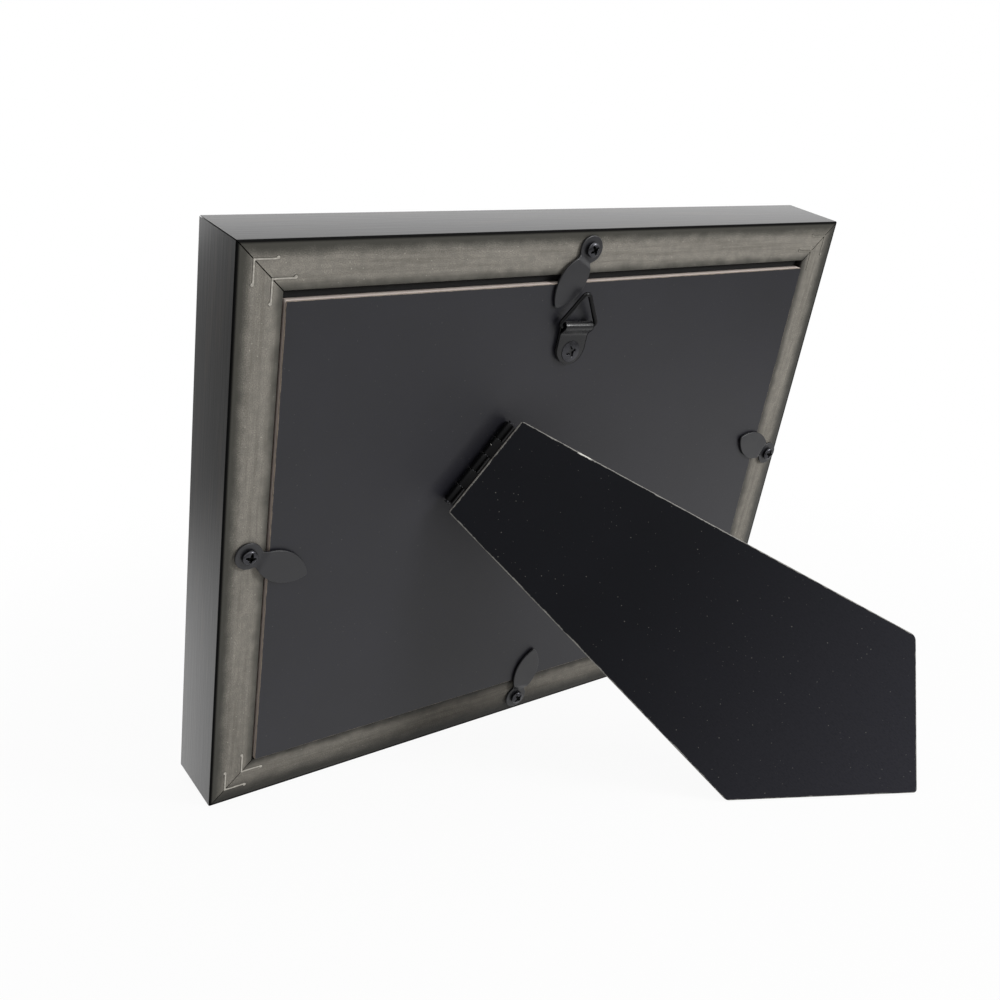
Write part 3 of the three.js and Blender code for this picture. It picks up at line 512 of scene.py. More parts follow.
def soft_plate(outline, bottom, top, roll, steps=3):
    """Rings of an outline: up the side and over both arrises, each a quarter circle of roll.
    One more ring lies flat inside each arris, so that the smooth shading stays on the arris."""
    normals = outward(outline)
    angle = np.linspace(0, math.pi / 2, steps + 1)
    inset = np.concatenate([[roll + FLAT_RING], roll * (1 - np.sin(angle))])
    drop = np.concatenate([[0], roll * (1 - np.cos(angle))])
    insets = np.concatenate([inset, inset[::-1]])
    heights = np.concatenate([bottom + drop, top - drop[::-1]])
    return grid_mesh(np.stack([
        np.column_stack([outline - normals * depth, np.full(len(outline), height)])
        for depth, height in zip(insets, heights)]))


def nearest_edge(place, corners):
    """Distance in from the nearest edge of a convex polygon: the least of each edge's own."""
    corners = np.array([corner[:2] for corner in corners])
    distances = []
    for start, end in zip(corners, np.roll(corners, -1, 0)):
        inward = np.array([start[1] - end[1], end[0] - start[0]]) / np.linalg.norm(end - start)
        reach = add(place.id_data, "ShaderNodeVectorMath", {0: place, 1: (*inward, 0)},
                    operation="DOT_PRODUCT").outputs["Value"]
        distances.append(maths("SUBTRACT", reach, float(inward @ start)))
    return maths("MINIMUM", *distances)


print("plate helpers ready")

# %% Paper-faced hardboard
# The darker fibre colour on the cut edge is painted shade; the board's top edge is left pale,
# painted light on its upward rim.
FIBRE_DARK, FIBRE_LIGHT, FIBRE_IN_SHADE, FIBRE_CHIPPED = "d8c6bb", "fff5ee", "5b473b", "e4e2db"
GREYER_PAPER = "2d2d33"
BOARD_LOOK = {"dark": "17171b", "light": "202027", "fleck": "5c5a57", "worn": "8f8172",
              "specular": 0.44, "roughness": (0.34, 0.46), "chafe": 0.25, "greyer_between": None,
              "chip": None, "lit_rim_above": 163.0}
STRUT_LOOK = {"dark": "07080c", "light": "0e0f14", "fleck": "83827c", "worn": "a09e99",
              "specular": 0.1, "roughness": (0.46, 0.6), "chafe": 0.4, "greyer_between": (50, 200),
              "chip": (23.7, 22.6, 4.4), "lit_rim_above": 1000.0}


def paper_faced_board(name, corners, face_height, look, turn=None, shift=(0, 0, 0)):
    """Black paper on hardboard. face_height is the outer face in the piece's own axes. In the
    look, chafe is how wide the worn line along the arris is and chip is where a chip shows the
    fibre, in millimetres. The paper is greyer between the two distances along x that the look
    gives. The cut edge gets painted shade: darker deeper from the face and half dark all along,
    but for the part whose y lies above the level the look gives, which stays pale as painted
    light on the upward rim."""
    material, tree, shader = new_material(name)
    place = own_coordinates(tree, turn, shift)
    along, across, height = split(place)
    fibre = noise(stretched(place, (0.35, 1, 1)), 0.35, 3.0, 0.65)
    fray = noise(place, 3.0, 4.0, 0.7)
    chafe, lit_rim_above = look["chafe"], look["lit_rim_above"]
    ragged = maths("ADD", nearest_edge(place, corners), wander(fray, 2.4 * chafe))
    face = mixed(noise(place, 28.0), look["dark"], look["light"])
    if look["greyer_between"]:
        face = layered(face, (along, *look["greyer_between"], 1.0, GREYER_PAPER))
    face = layered(face, (fibre, 0.4, 0.8, 0.4, look["light"]),
                   (noise(place, 0.65, 0.0), 0.81, 0.88, 0.45, look["fleck"]),
                   (ragged, chafe, 0.3 * chafe, 0.8, look["worn"]))
    # Painted shade on the cut edge: darker deeper from the face and half dark along it, while the
    # top edge of the board stays pale as painted light.
    edge_shade = maths("MAXIMUM", between(across, lit_rim_above, lit_rim_above + 0.6, 0.5, 0.0),
                    between(height, face_height - 2.1, face_height - 2.9))
    core = mixed(edge_shade, mixed(fibre, FIBRE_DARK, FIBRE_LIGHT), FIBRE_IN_SHADE)
    colour = mixed(between(height, face_height - 0.45, face_height - 0.15), core, face)
    if look["chip"]:
        away = add(tree, "ShaderNodeVectorMath", {0: place, 1: look["chip"]},
                   operation="DISTANCE").outputs["Value"]
        chipped = maths("MULTIPLY", between(maths("ADD", away, fray), 3.4, 2.2),
                        between(ragged, 0.6, 0.35))
        colour = mixed(chipped, colour, FIBRE_CHIPPED)
    connect(shader, {
        "Base Color": colour, "Specular IOR Level": look["specular"],
        "Roughness": between(fibre, 0.2, 0.8, *look["roughness"]),
        "Normal": bump(fibre, 0.00002)})
    return material


BACKING_TOP, BACKING_THICKNESS = 0.8, 3.0
BOARD_CLEARANCE, BOARD_TOP_GAP, BOARD_CORNER, BOARD_ROLL = 0.5, 2.5, 0.5, 0.18
board_side = FRAME_WIDTH / 2 - RAIL_BACK_WIDTH - BOARD_CLEARANCE
board_low = RAIL_BACK_WIDTH + BOARD_CLEARANCE
board_high = FRAME_HEIGHT - RAIL_BACK_WIDTH - BOARD_TOP_GAP
board_corners = [(x, y, BOARD_CORNER) for x, y in (
    (-board_side, board_low), (board_side, board_low),
    (board_side, board_high), (-board_side, board_high))]
points, faces = soft_plate(rounded_outline(board_corners, 4), BACKING_TOP - BACKING_THICKNESS,
                           BACKING_TOP, BOARD_ROLL)
finish = paper_faced_board("black_paper_on_hardboard", board_corners, BACKING_TOP, BOARD_LOOK)
new_piece("board_sheet", points, faces, finish, "frame", ["backing_board"])

# %% [markdown]
# The strut is cut from a thinner board. Its own axes have x down the board from the hinge pin,
# y along the pin and z away from the frame. It is drawn folded, turned open about the pin, and
# then set into the frame with its hinge. Its foot is a right angle, so that one side stands
# level on the table when it is open. Its paper is greyer towards the foot. It has been handled
# more than the backing board: its arris is chafed all round, and one edge has a chip.

# %% Strut
HINGE_PLACE = np.array([-31.9, 108.0, 2.75])
BACK_ARRIS = 0.5
STRUT_INSIDE, STRUT_THICKNESS, STRUT_ROLL = 1.95, 2.5, 0.3
STRUT_TOP, STRUT_HALF_WIDTH = 2.0, 18.0
FOOT_EDGE_INSET, FOOT_WIDTH, FOOT_SIDE_HEIGHT = 9.5, 62.2, 50.4


def on_hinge(points):
    """From the hinge's axes to the frame's: turned by the skew and moved to the pin."""
    return turned_about(points, "z", -HINGE_SKEW) + HINGE_PLACE


def on_open_strut(points):
    """From the strut's axes to the frame's: turned open about the pin, then as the hinge."""
    return on_hinge(turned_about(points, "y", -OPEN_ANGLE))


def to_hinge(x, y):
    """A place on the folded strut, from the frame's axes to the hinge's."""
    return turned_about([x, y, 0] - HINGE_PLACE, "z", HINGE_SKEW)[:2]


heel_height = BACK_ARRIS * (math.cos(lean) + math.sin(lean) - 1)
foot_low = ((HINGE_PLACE[2] - STRUT_INSIDE) * math.sin(lean) + heel_height) / math.cos(lean)
foot_side = FRAME_WIDTH / 2 - FOOT_EDGE_INSET
strut_corners = [(STRUT_TOP, STRUT_HALF_WIDTH, 0.8), (STRUT_TOP, -STRUT_HALF_WIDTH, 0.8),
                 (*to_hinge(foot_side - FOOT_WIDTH, foot_low), 2.5),
                 (*to_hinge(foot_side, foot_low), 1.2),
                 (*to_hinge(foot_side, foot_low + FOOT_SIDE_HEIGHT), 3.0)]
strut_face = STRUT_INSIDE + STRUT_THICKNESS
points, faces = soft_plate(rounded_outline(strut_corners), STRUT_INSIDE, strut_face, STRUT_ROLL)
strut_axes = turn_matrix("y", OPEN_ANGLE) @ turn_matrix("z", HINGE_SKEW)
finish = paper_faced_board("black_paper_on_strut", strut_corners, strut_face, STRUT_LOOK,
                           strut_axes, -strut_axes @ HINGE_PLACE)
new_piece("strut_board", on_open_strut(points), faces, finish, "strut", ["strut"])

# %% [markdown]
# The fittings are pressed from thin steel and dipped in black lacquer, which pools into a very
# fine orange peel. The turn buttons are the palest. The hanger's strap is darker and its ring is
# thickly coated and glossy. The hinge is made nearly black, as painted shade round it, with
# many bright chips of bare steel that also stand in for its glints as painted highlights. The
# screws are turned steel with a black oxide: darker, a true metal, and with painted shade in
# the recess and under the head.

# %% Steel finishes
BARE_STEEL, OXIDE_DARK, OXIDE_LIGHT, RECESS_SHADE_BLACK = "b9b7b0", "343437", "4c4c50", "030303"


def black_lacquered_steel(name, dark, light, specular, chips_and_glints=0.9, roughness=(0.32, 0.44)):
    """Dipped black lacquer on pressed steel: satin, with orange peel of about 0.5 mm. The chip
    level is the noise level over which the lacquer has chipped off small spots of bare steel;
    set low, as on the hinge, the chips also stand in for glints as painted highlights."""
    material, tree, shader = new_material(name)
    place = own_coordinates(tree)
    cloud = noise(place, 5.0)
    chipped = between(noise(place, 0.9, 2.0), chips_and_glints, chips_and_glints + 0.03)
    connect(shader, {
        "Base Color": mixed(chipped, mixed(cloud, dark, light), BARE_STEEL),
        "Metallic": chipped, "Specular IOR Level": specular,
        "Roughness": between(cloud, 0.3, 0.7, *roughness),
        "Normal": bump(noise(place, 0.5, 1.0), 0.00001)})
    return material


def black_oxide_steel():
    """Black oxide on a turned screw: metallic, dark, with faint mottling from the bath. A named
    attribute of 0 to 1 says where shade is painted black: in the recess and under the head."""
    material, tree, shader = new_material("black_oxide_steel")
    cloud = noise(own_coordinates(tree), 1.2)
    recess_shade = add(tree, "ShaderNodeAttribute", attribute_name="recess_shade").outputs["Fac"]
    connect(shader, {
        "Base Color": mixed(recess_shade, mixed(cloud, OXIDE_DARK, OXIDE_LIGHT), RECESS_SHADE_BLACK),
        "Roughness": between(cloud, 0.3, 0.7, 0.2, 0.3), "Metallic": 0.9})
    return material


LACQUERS = {
    "button": ("black_lacquered_steel", "17171a", "222226", 0.55),
    "hanger": ("black_lacquered_hanger_steel", "0a0a0c", "111114", 0.42, 0.9, (0.24, 0.32)),
    "ring": ("black_lacquered_ring_wire", "050506", "09090b", 0.16, 0.9, (0.14, 0.2)),
    # The hinge is darker than the other fittings, which paints the shade round it, and its low chip
    # level gives many bright chips that stand in for glints: painted highlights.
    "hinge": ("black_hinge_steel_with_painted_shade", "040405", "08080a", 0.12, 0.73)}
lacquers = {part: black_lacquered_steel(*look) for part, look in LACQUERS.items()}
oxide = black_oxide_steel()
print("steel finishes:", ", ".join(lacquers), "and", oxide.name)

# %% [markdown]
# A turn button is one stamping: a round head under the screw, and a leaf-shaped wing that holds
# the board. Seen from the screw, its outline is the farther of the head's circle and the leaf,
# which is where two large circles overlap. The sheet lies on the rail, steps up by the board's
# 0.8 mm and lies flat again. It is a grid of rings from the screw hole out to the edge.

# %% Turn buttons
BUTTON_HEAD_RADIUS, WING_START, BUTTON_REACH, WING_HALF_WIDTH = 4.25, 1.5, 20.9, 5.1
BUTTON_SHEET, BUTTON_HOLE, SEAT_GAP = 0.8, 1.6, 0.3
STEP_START, STEP_LENGTH = 3.2, 2.2


def evenly_spaced(outline, count):
    """The same closed outline with its points at equal distances along it."""
    closed = np.vstack([outline, outline[:1]])
    along = np.concatenate([[0], np.cumsum(np.linalg.norm(np.diff(closed, axis=0), axis=1))])
    places = np.linspace(0, along[-1], count, endpoint=False)
    return np.column_stack([np.interp(places, along, closed[:, axis]) for axis in (0, 1)])


def softened(outline, width):
    """Each point moved to the mean of its neighbours within a width of points, which rounds
    tips and inner corners as a press tool does."""
    return sum(np.roll(outline, shift, 0) for shift in range(-width, width + 1)) / (2 * width + 1)


def leaf_reach(angle, start, end, half_width):
    """How far the leaf reaches from the screw: to the nearer rim of its two large circles,
    or 0 in a direction that misses one of them."""
    half = (end - start) / 2
    radius = (half ** 2 + half_width ** 2) / (2 * half_width)
    direction = np.stack([np.cos(angle), np.sin(angle)], -1)
    reaches = []
    for side in (1, -1):
        centre = np.array([start + half, side * (radius - half_width)])
        along = direction @ centre
        inside = along ** 2 - centre @ centre + radius ** 2
        reaches.append(np.where(inside > 0, along + np.sqrt(np.maximum(inside, 0)), 0))
    return np.minimum(*reaches)


def button_outline(count=180):
    """The farther of head and leaf in each direction, spaced evenly and softened."""
    angle = np.linspace(-math.pi, math.pi, 6000, endpoint=False)
    reach = np.maximum(BUTTON_HEAD_RADIUS,
                       leaf_reach(angle, WING_START, BUTTON_REACH, WING_HALF_WIDTH))
    outline = np.column_stack([reach * np.cos(angle), reach * np.sin(angle)])
    return softened(evenly_spaced(outline, count), 2)


def step_height(x):
    """The sheet's rise: 0 before the step, then a smooth 3t2 - 2t3 up to the board's 0.8 mm."""
    share = np.clip((x - STEP_START) / STEP_LENGTH, 0, 1)
    return BACKING_TOP * share ** 2 * (3 - 2 * share)


def stamped_button(rings=26, roll=0.22, steps=4):
    """Rings from the hole to the edge and back: under side out, over the edge, upper side in."""
    outline = button_outline()
    normals = outward(outline)
    hole = BUTTON_HOLE * outline / np.linalg.norm(outline, axis=1)[:, None]
    share = np.linspace(0, 1, rings)[:, None, None]
    flat = hole * (1 - share) + (outline - normals * roll) * share
    angle = np.linspace(0, math.pi / 2, steps + 1)[1:, None, None]
    over = outline - normals * roll * (1 - np.sin(angle))
    under_side = np.concatenate([flat, over])
    lift = np.concatenate([np.zeros(rings), roll * (1 - np.cos(angle.ravel()))])[:, None]
    low = SEAT_GAP + step_height(under_side[..., 0])
    under = np.dstack([under_side, low + lift])
    upper = np.dstack([under_side, low + BUTTON_SHEET - lift])[::-1]
    return grid_mesh(np.concatenate([under, upper]), ring=True)


BUTTONS = {"top": (-0.1, 174.1, -122), "left": (-107.5, 89.3, -27),
           "bottom": (3.2, 6.2, 79), "right": (110.0, 89.6, 153.5)}
points, faces = stamped_button()
for side, (x, y, pointing) in BUTTONS.items():
    placed = turned_about(points, "z", math.radians(pointing)) + [x, y, 0]
    new_piece(f"button_{side}", placed, faces, lacquers["button"], f"{side}_button",
              [f"turn_button_{side}"])

# %% [markdown]
# Each screw head is a square grid of points pressed into a disc, because a square grid keeps
# straight lines where the cross recess is. The recess is a height taken off the dome: deepest
# in the middle, with four arms that run out and sloping walls. Below the dome, rings go down
# the rim, under the head and along the shank to its point.

# %% Screws
def disc_from_square(count):
    """Square (u, v) to disc: x = u sqrt(1 - v2 / 2), y = v sqrt(1 - u2 / 2)."""
    u, v = np.meshgrid(np.linspace(-1, 1, count), np.linspace(-1, 1, count))
    return u * np.sqrt(1 - v ** 2 / 2), v * np.sqrt(1 - u ** 2 / 2)


def square_rim(count):
    """Corner numbers round the edge of a square grid, anticlockwise."""
    last = count - 1
    run = np.arange(last)
    return np.concatenate([run, run * count + last, last * count + last - run,
                           (last - run) * count])


def cross_recess(x, y, arm, half_width, depth, wall=0.16):
    """Depth of a cross recess: an arm narrows outwards, its floor rises to its end, and its
    walls slope over a short distance."""
    along, across = np.maximum(abs(x), abs(y)), np.minimum(abs(x), abs(y))
    inside = np.clip((half_width * (1 - 0.35 * along / arm) - across) / wall + 0.5, 0, 1)
    floor = depth * np.clip(1 - along / arm, 0, 1) ** 0.55
    return inside * floor


def screw_mesh(head_radius, dome, recess, below, count=45):
    """Dome grid with its recess, then rings (radius, height) down to the point."""
    x, y = disc_from_square(count)
    x, y = x * head_radius, y * head_radius
    depth = cross_recess(x, y, **recess)
    top = np.stack([x, y, dome(np.hypot(x, y)) - depth], -1).reshape(-1, 3)
    rim = square_rim(count)
    angle = np.arctan2(top[rim, 1], top[rim, 0])
    rings = [np.column_stack([radius * np.cos(angle), radius * np.sin(angle),
                              np.full(len(rim), height)]) for radius, height in below]
    quads = grid_quads(count, count, close_columns=False).tolist()
    side = grid_quads(len(rings) + 1, len(rim))[:, ::-1]
    numbers = np.concatenate([rim, count * count + np.arange(len(rings) * len(rim))])
    faces = quads + numbers[side].tolist() + [numbers[-len(rim):][::-1].tolist()]
    # Painted shade: black in the cross recess and on the rings under the head.
    recess_shade = np.concatenate([np.clip(depth.ravel() / 0.3, 0, 1), np.zeros(len(rim)),
                            np.ones((len(rings) - 1) * len(rim))])
    return np.concatenate([top, *rings]), faces, {"recess_shade": recess_shade}


PAN_RADIUS, PAN_HEIGHT, PAN_SEAT, PAN_RIM = 2.35, 1.25, 1.4, 0.15
PAN_RECESS = {"arm": 1.65, "half_width": 0.46, "depth": 1.05}
SHANK_RADIUS, SCREW_BITE, SCREW_TIP = 1.3, 11.0, 0.1


def pan_dome(radius):
    """A flat-topped dome: seat + height (0.42 + 0.58 (1 - (r / R)^3)^0.5)."""
    share = np.clip(radius / PAN_RADIUS, 0, 0.999)
    return PAN_SEAT + PAN_HEIGHT * (0.42 + 0.58 * np.sqrt(1 - share ** 3))


points, faces, recess_shade = screw_mesh(PAN_RADIUS * 0.985, pan_dome, PAN_RECESS, [
    (PAN_RADIUS, PAN_SEAT + 0.36 * PAN_HEIGHT), (PAN_RADIUS, PAN_SEAT + PAN_RIM),
    (PAN_RADIUS - PAN_RIM, PAN_SEAT), (SHANK_RADIUS, PAN_SEAT), (SHANK_RADIUS, 3 - SCREW_BITE),
    (SCREW_TIP, -SCREW_BITE)])
for side, (x, y, pointing) in BUTTONS.items():
    placed = turned_about(points, "z", math.radians(pointing / 2)) + [x, y, 0]
    new_piece(f"screw_{side}", placed, faces, oxide, "frame", [f"button_screw_{side}"],
              recess_shade)

# %% [markdown]
# The hanger is a strip folded round the base wire of a triangular ring and screwed down through
# both of its layers. The strip's path is drawn in side view: along the board, round the wire,
# down onto itself in a tight bend, and along to the end. A rounded section is carried along
# that path, and its width closes in to a half circle round the screw.

# %% Hanger
HANGER_PLACE, HANGER_TURN = np.array([-1.9, 150.4, 2.7]), math.radians(-3.6)
STRAP_HALF_WIDTH, STRAP_SHEET, STRAP_DROP, STRAP_END = 5.6, 0.6, 8.4, 12.8
FOLD_RADIUS, WIRE_RADIUS = 1.6, 0.7
FOLD_END, FOLD_SLOPE, SETTLE_RUN, SETTLE_DROP = 118, np.array([-0.75, -0.66]), 0.9, 0.25


def on_hanger(points):
    """From the hanger's axes to the frame's: x along the fold, y up, z out of the back."""
    return turned_about(points, "z", HANGER_TURN) + HANGER_PLACE


def strip_along(path, half_widths, thickness, roll=0.12, across=10, steps=3):
    """A rounded rectangle carried along a path in y and z. Each section has its width across
    x and its thickness along the path's normal."""
    step = np.gradient(path, axis=0)
    step /= np.linalg.norm(step, axis=1)[:, None]
    normal = np.column_stack([-step[:, 1], step[:, 0]])
    angle = np.linspace(0, math.pi / 2, steps + 1)
    half = thickness / 2
    corner = np.column_stack([roll * np.sin(angle) - roll, half - roll + roll * np.cos(angle)])
    flat = np.linspace(-1, 1, across)[1:-1]
    share = np.concatenate([np.ones(steps + 1), flat[::-1], -np.ones(steps + 1)])
    shift = np.concatenate([corner[:, 0], np.zeros(across - 2), -corner[::-1, 0]])
    height = np.concatenate([corner[:, 1], np.full(across - 2, half), corner[::-1, 1]])
    share, shift, height = (np.concatenate([row, -row]) for row in (share, shift, height))
    width = share * np.maximum(half_widths[:, None], roll) + shift
    place = path[:, None, :] + normal[:, None, :] * height[None, :, None]
    return grid_mesh(np.dstack([width, place]))


def arc(centre, radius, start, end, count):
    """Points of an arc, its angles in degrees."""
    angle = np.radians(np.linspace(start, end, count))
    return np.column_stack([centre[0] + radius * np.cos(angle), centre[1] + radius * np.sin(angle)])


def strap_path():
    """Along the board, round the wire to FOLD_END degrees, down a slope to the lower layer,
    onto it in a quarter of a sine, and out to the end."""
    middle = FOLD_RADIUS - STRAP_SHEET / 2
    landing = -middle + STRAP_SHEET
    quarter = np.linspace(0, math.pi / 2, 14)
    stations = STRAP_HALF_WIDTH * (1 - np.cos(quarter))
    ends = -STRAP_END + np.concatenate([stations, np.linspace(stations[-1], STRAP_END, 10)[1:]])
    under = np.column_stack([ends, np.full(len(ends), -middle)])
    around = arc((0, 0), middle, -90, FOLD_END, 40)[1:]
    fall = (around[-1, 1] - landing - SETTLE_DROP) / -FOLD_SLOPE[1]
    drop = around[-1] + FOLD_SLOPE * np.linspace(0, 1, 8)[1:, None] * fall
    share = np.linspace(0, 1, 6)[1:]
    settle = drop[-1] - np.column_stack([SETTLE_RUN * share,
                                         SETTLE_DROP * np.sin(share * math.pi / 2)])
    back = np.linspace(settle[-1, 0], STRAP_HALF_WIDTH - STRAP_END, 8)[1:]
    tail = np.concatenate([back, -STRAP_END + stations[::-1][1:]])
    over = np.column_stack([tail, np.full(len(tail), landing)])
    return np.concatenate([under, around, drop, settle, over])


path = strap_path()
in_round_end = np.clip(STRAP_HALF_WIDTH - STRAP_END - path[:, 0], 0, STRAP_HALF_WIDTH)
half_widths = np.sqrt(np.maximum(STRAP_HALF_WIDTH ** 2 - in_round_end ** 2, 0))
points, faces = strip_along(path, half_widths, STRAP_SHEET)
new_piece("strap", on_hanger(points), faces, lacquers["hanger"], "frame", ["hanger_strap"])

# %% Hanger screw
STRAP_TOP = 2 * STRAP_SHEET - FOLD_RADIUS
FLAT_RADIUS, FLAT_RIM, FLAT_CROWN = 3.5, 0.2, 0.6
FLAT_RECESS = {"arm": 1.9, "half_width": 0.52, "depth": 1.2}
FLAT_TURN = math.radians(24)


def flat_dome(radius):
    """A low crown over a small upright rim: strap + rim + (crown - rim) (1 - (r / R)2)."""
    return STRAP_TOP + FLAT_RIM + (FLAT_CROWN - FLAT_RIM) * (1 - (radius / FLAT_RADIUS) ** 2)


points, faces, recess_shade = screw_mesh(FLAT_RADIUS * 0.98, flat_dome, FLAT_RECESS, [
    (FLAT_RADIUS, STRAP_TOP + 0.1), (FLAT_RADIUS, STRAP_TOP - 0.05),
    (SHANK_RADIUS, STRAP_TOP - 1.3), (SHANK_RADIUS, -4.1), (SCREW_TIP, -4.25)])
placed = turned_about(points, "z", FLAT_TURN) - [0, STRAP_DROP, 0]
new_piece("strap_screw", on_hanger(placed), faces, oxide, "frame", ["hanger_screw"],
          recess_shade)

# %% [markdown]
# The ring is one length of wire bent into a triangle, with its ends hidden in the fold. The
# tube's path is a rounded outline, and a circle is carried round it: one axis lies in the
# plane of the triangle, across the wire, and the other stands square to that plane.

# %% Hanger ring
RING_HEIGHT, RING_CORNER, RING_APEX, RING_RAISE = 12.0, 1.0, 1.5, math.radians(7)


def ring_outline():
    """A triangle on the fold with rounded corners, its corners just outside the strap."""
    slope = math.atan2(RING_HEIGHT, STRAP_HALF_WIDTH + RING_HEIGHT / 4)
    base = STRAP_HALF_WIDTH + SEAT_GAP + RING_CORNER / math.tan(slope / 2)
    outline = rounded_outline([(base, 0, RING_CORNER), (0, RING_HEIGHT, RING_APEX),
                               (-base, 0, RING_CORNER)], 14)
    return evenly_spaced(outline, 150)


def closed_tube(outline, radius, sides=20):
    """A circle carried round a flat closed outline: p + r (cos a n + sin a z)."""
    normals = outward(outline)
    angle = np.linspace(0, 2 * math.pi, sides, endpoint=False)
    flat = outline[:, None] + radius * np.cos(angle)[None, :, None] * normals[:, None]
    height = np.broadcast_to(radius * np.sin(angle), flat.shape[:2])
    return grid_mesh(np.dstack([flat, height]), ring=True)


points, faces = closed_tube(ring_outline(), WIRE_RADIUS)
new_piece("ring", on_hanger(turned_about(points, "x", RING_RAISE)), faces, lacquers["ring"],
          "ring", ["hanger_ring"])

# %% [markdown]
# The hinge is two pressed leaves whose tabs are rolled round a pin. A leaf is a sheet with no
# thickness at first: rows run from its far edge towards the pin and round it, columns along
# the pin. Past the flat part only the columns of its own tabs have faces. Solidify then gives
# the sheet its 0.6 mm, evenly on both sides.

# %% Hinge leaves
HINGE_HALF, KNUCKLES, KNUCKLE_RADIUS = 15.5, 5, 1.65
LEAF_SHEET, LEAF_LENGTH, LEAF_BEVEL = 0.6, 18.0, 0.08
LEAF_START = KNUCKLE_RADIUS + SEAT_GAP
ROLL_END = -375


def leaf_sheet(own_first):
    """The leaf's middle surface: flat from its edge to the pin, then rolled by 285 degrees."""
    middle = KNUCKLE_RADIUS - LEAF_SHEET / 2
    flat = np.column_stack([np.linspace(LEAF_LENGTH, LEAF_START, 12), np.full(12, -middle)])
    tab = np.column_stack([np.linspace(LEAF_START, 0, 4)[1:], np.full(3, -middle)])
    path = np.concatenate([flat, tab, arc((0, 0), middle, -90, ROLL_END, 48)[1:]])
    pitch = 2 * HINGE_HALF / KNUCKLES
    starts = -HINGE_HALF + pitch * np.arange(KNUCKLES)[:, None]
    edges = starts + [SEAT_GAP / 2, pitch - SEAT_GAP / 2]
    columns = np.concatenate([[-HINGE_HALF], edges.ravel(), [HINGE_HALF]])
    grid = np.stack([np.repeat(path[:, :1], len(columns), 1), np.tile(columns, (len(path), 1)),
                     np.repeat(path[:, 1:], len(columns), 1)], -1)
    quads = grid_quads(*grid.shape[:2], close_columns=False)
    row, column = quads[:, 0] // len(columns), quads[:, 0] % len(columns)
    own = (column % 2 == 1) & ((column // 2) % 2 == own_first)
    quads = quads[(row < len(flat) - 1) | own]
    used, numbers = np.unique(quads, return_inverse=True)
    return grid.reshape(-1, 3)[used], numbers.reshape(quads.shape)


def thickened(points, faces):
    """Solidify and a small bevel, worked out once and handed back as points and faces."""
    mesh = bpy.data.meshes.new("sheet")
    mesh.from_pydata(points.tolist(), [], faces.tolist())
    sheet = add_object("sheet", mesh)
    solid = sheet.modifiers.new("solid", "SOLIDIFY")
    solid.thickness, solid.offset, solid.use_even_offset = LEAF_SHEET, 0, True
    soft = sheet.modifiers.new("soft", "BEVEL")
    soft.width, soft.segments, soft.limit_method, soft.angle_limit = LEAF_BEVEL, 2, "ANGLE", 0.9
    made = sheet.evaluated_get(bpy.context.evaluated_depsgraph_get()).to_mesh()
    corners = np.array([vertex.co[:] for vertex in made.vertices])
    polygons = [list(polygon.vertices) for polygon in made.polygons]
    bpy.data.objects.remove(sheet)
    bpy.data.meshes.remove(mesh)
    return corners, polygons


points, faces = thickened(*leaf_sheet(0))
new_piece("fixed_leaf", on_hinge(points), faces, lacquers["hinge"], "frame",
          ["hinge_fixed_leaf"])
points, faces = thickened(*leaf_sheet(1))
new_piece("moving_leaf", on_open_strut(points * [1, 1, -1]), faces, lacquers["hinge"], "strut",
          ["hinge_moving_leaf"])

# %% [markdown]
# The pin and the rivets are turned shapes. A profile of radius and height is carried round an
# axis, and a domed head is a quarter of an ellipse.

# %% Pin and rivets
def turned_piece(profile, sides=32):
    """Radius and height carried round z: (r cos a, r sin a, h)."""
    radius, height = np.array(profile, float).T
    angle = np.linspace(0, 2 * math.pi, sides, endpoint=False)
    return grid_mesh(np.stack([radius[:, None] * np.cos(angle), radius[:, None] * np.sin(angle),
                               np.repeat(height[:, None], sides, 1)], -1))


def dome(radius, start, height, count=7):
    """Profile of a domed head from its rim to near its middle: a quarter ellipse."""
    angle = np.linspace(0, math.pi / 2 * 0.97, count)
    return [(radius * math.cos(a), start + height * math.sin(a)) for a in angle]


PIN_RADIUS, PIN_HEAD_RADIUS, PIN_END = 0.8, 1.2, HINGE_HALF + SEAT_GAP
PIN_RIM, PIN_DOME = 0.08, 0.32
head = [(PIN_RADIUS, PIN_END), (PIN_HEAD_RADIUS - 0.05, PIN_END),
        *dome(PIN_HEAD_RADIUS, PIN_END + PIN_RIM, PIN_DOME)]
points, faces = turned_piece([(radius, -height) for radius, height in head[::-1]] + head)
new_piece("pin", on_hinge(turned_about(points, "x", -math.pi / 2)), faces, oxide, "frame",
          ["hinge_pin"])

RIVET_SHANK, RIVET_HEAD, RIVET_RIM, RIVET_DOME = 0.9, 2.0, 0.12, 0.58
RIVET_ALONG, RIVET_SHORT = 9, 0.6
LEAF_INSIDE = KNUCKLE_RADIUS - LEAF_SHEET


def rivet(sheet):
    """A domed head above z = 0 and a shank below it, through the leaf and nearly through the
    sheet under it."""
    length = sheet - RIVET_SHORT + LEAF_SHEET + 2 * SEAT_GAP
    return turned_piece([(0.5, -length), (RIVET_SHANK, -length + 0.2), (RIVET_SHANK, 0),
                         (RIVET_HEAD - 0.06, 0), *dome(RIVET_HEAD, RIVET_RIM, RIVET_DOME)])


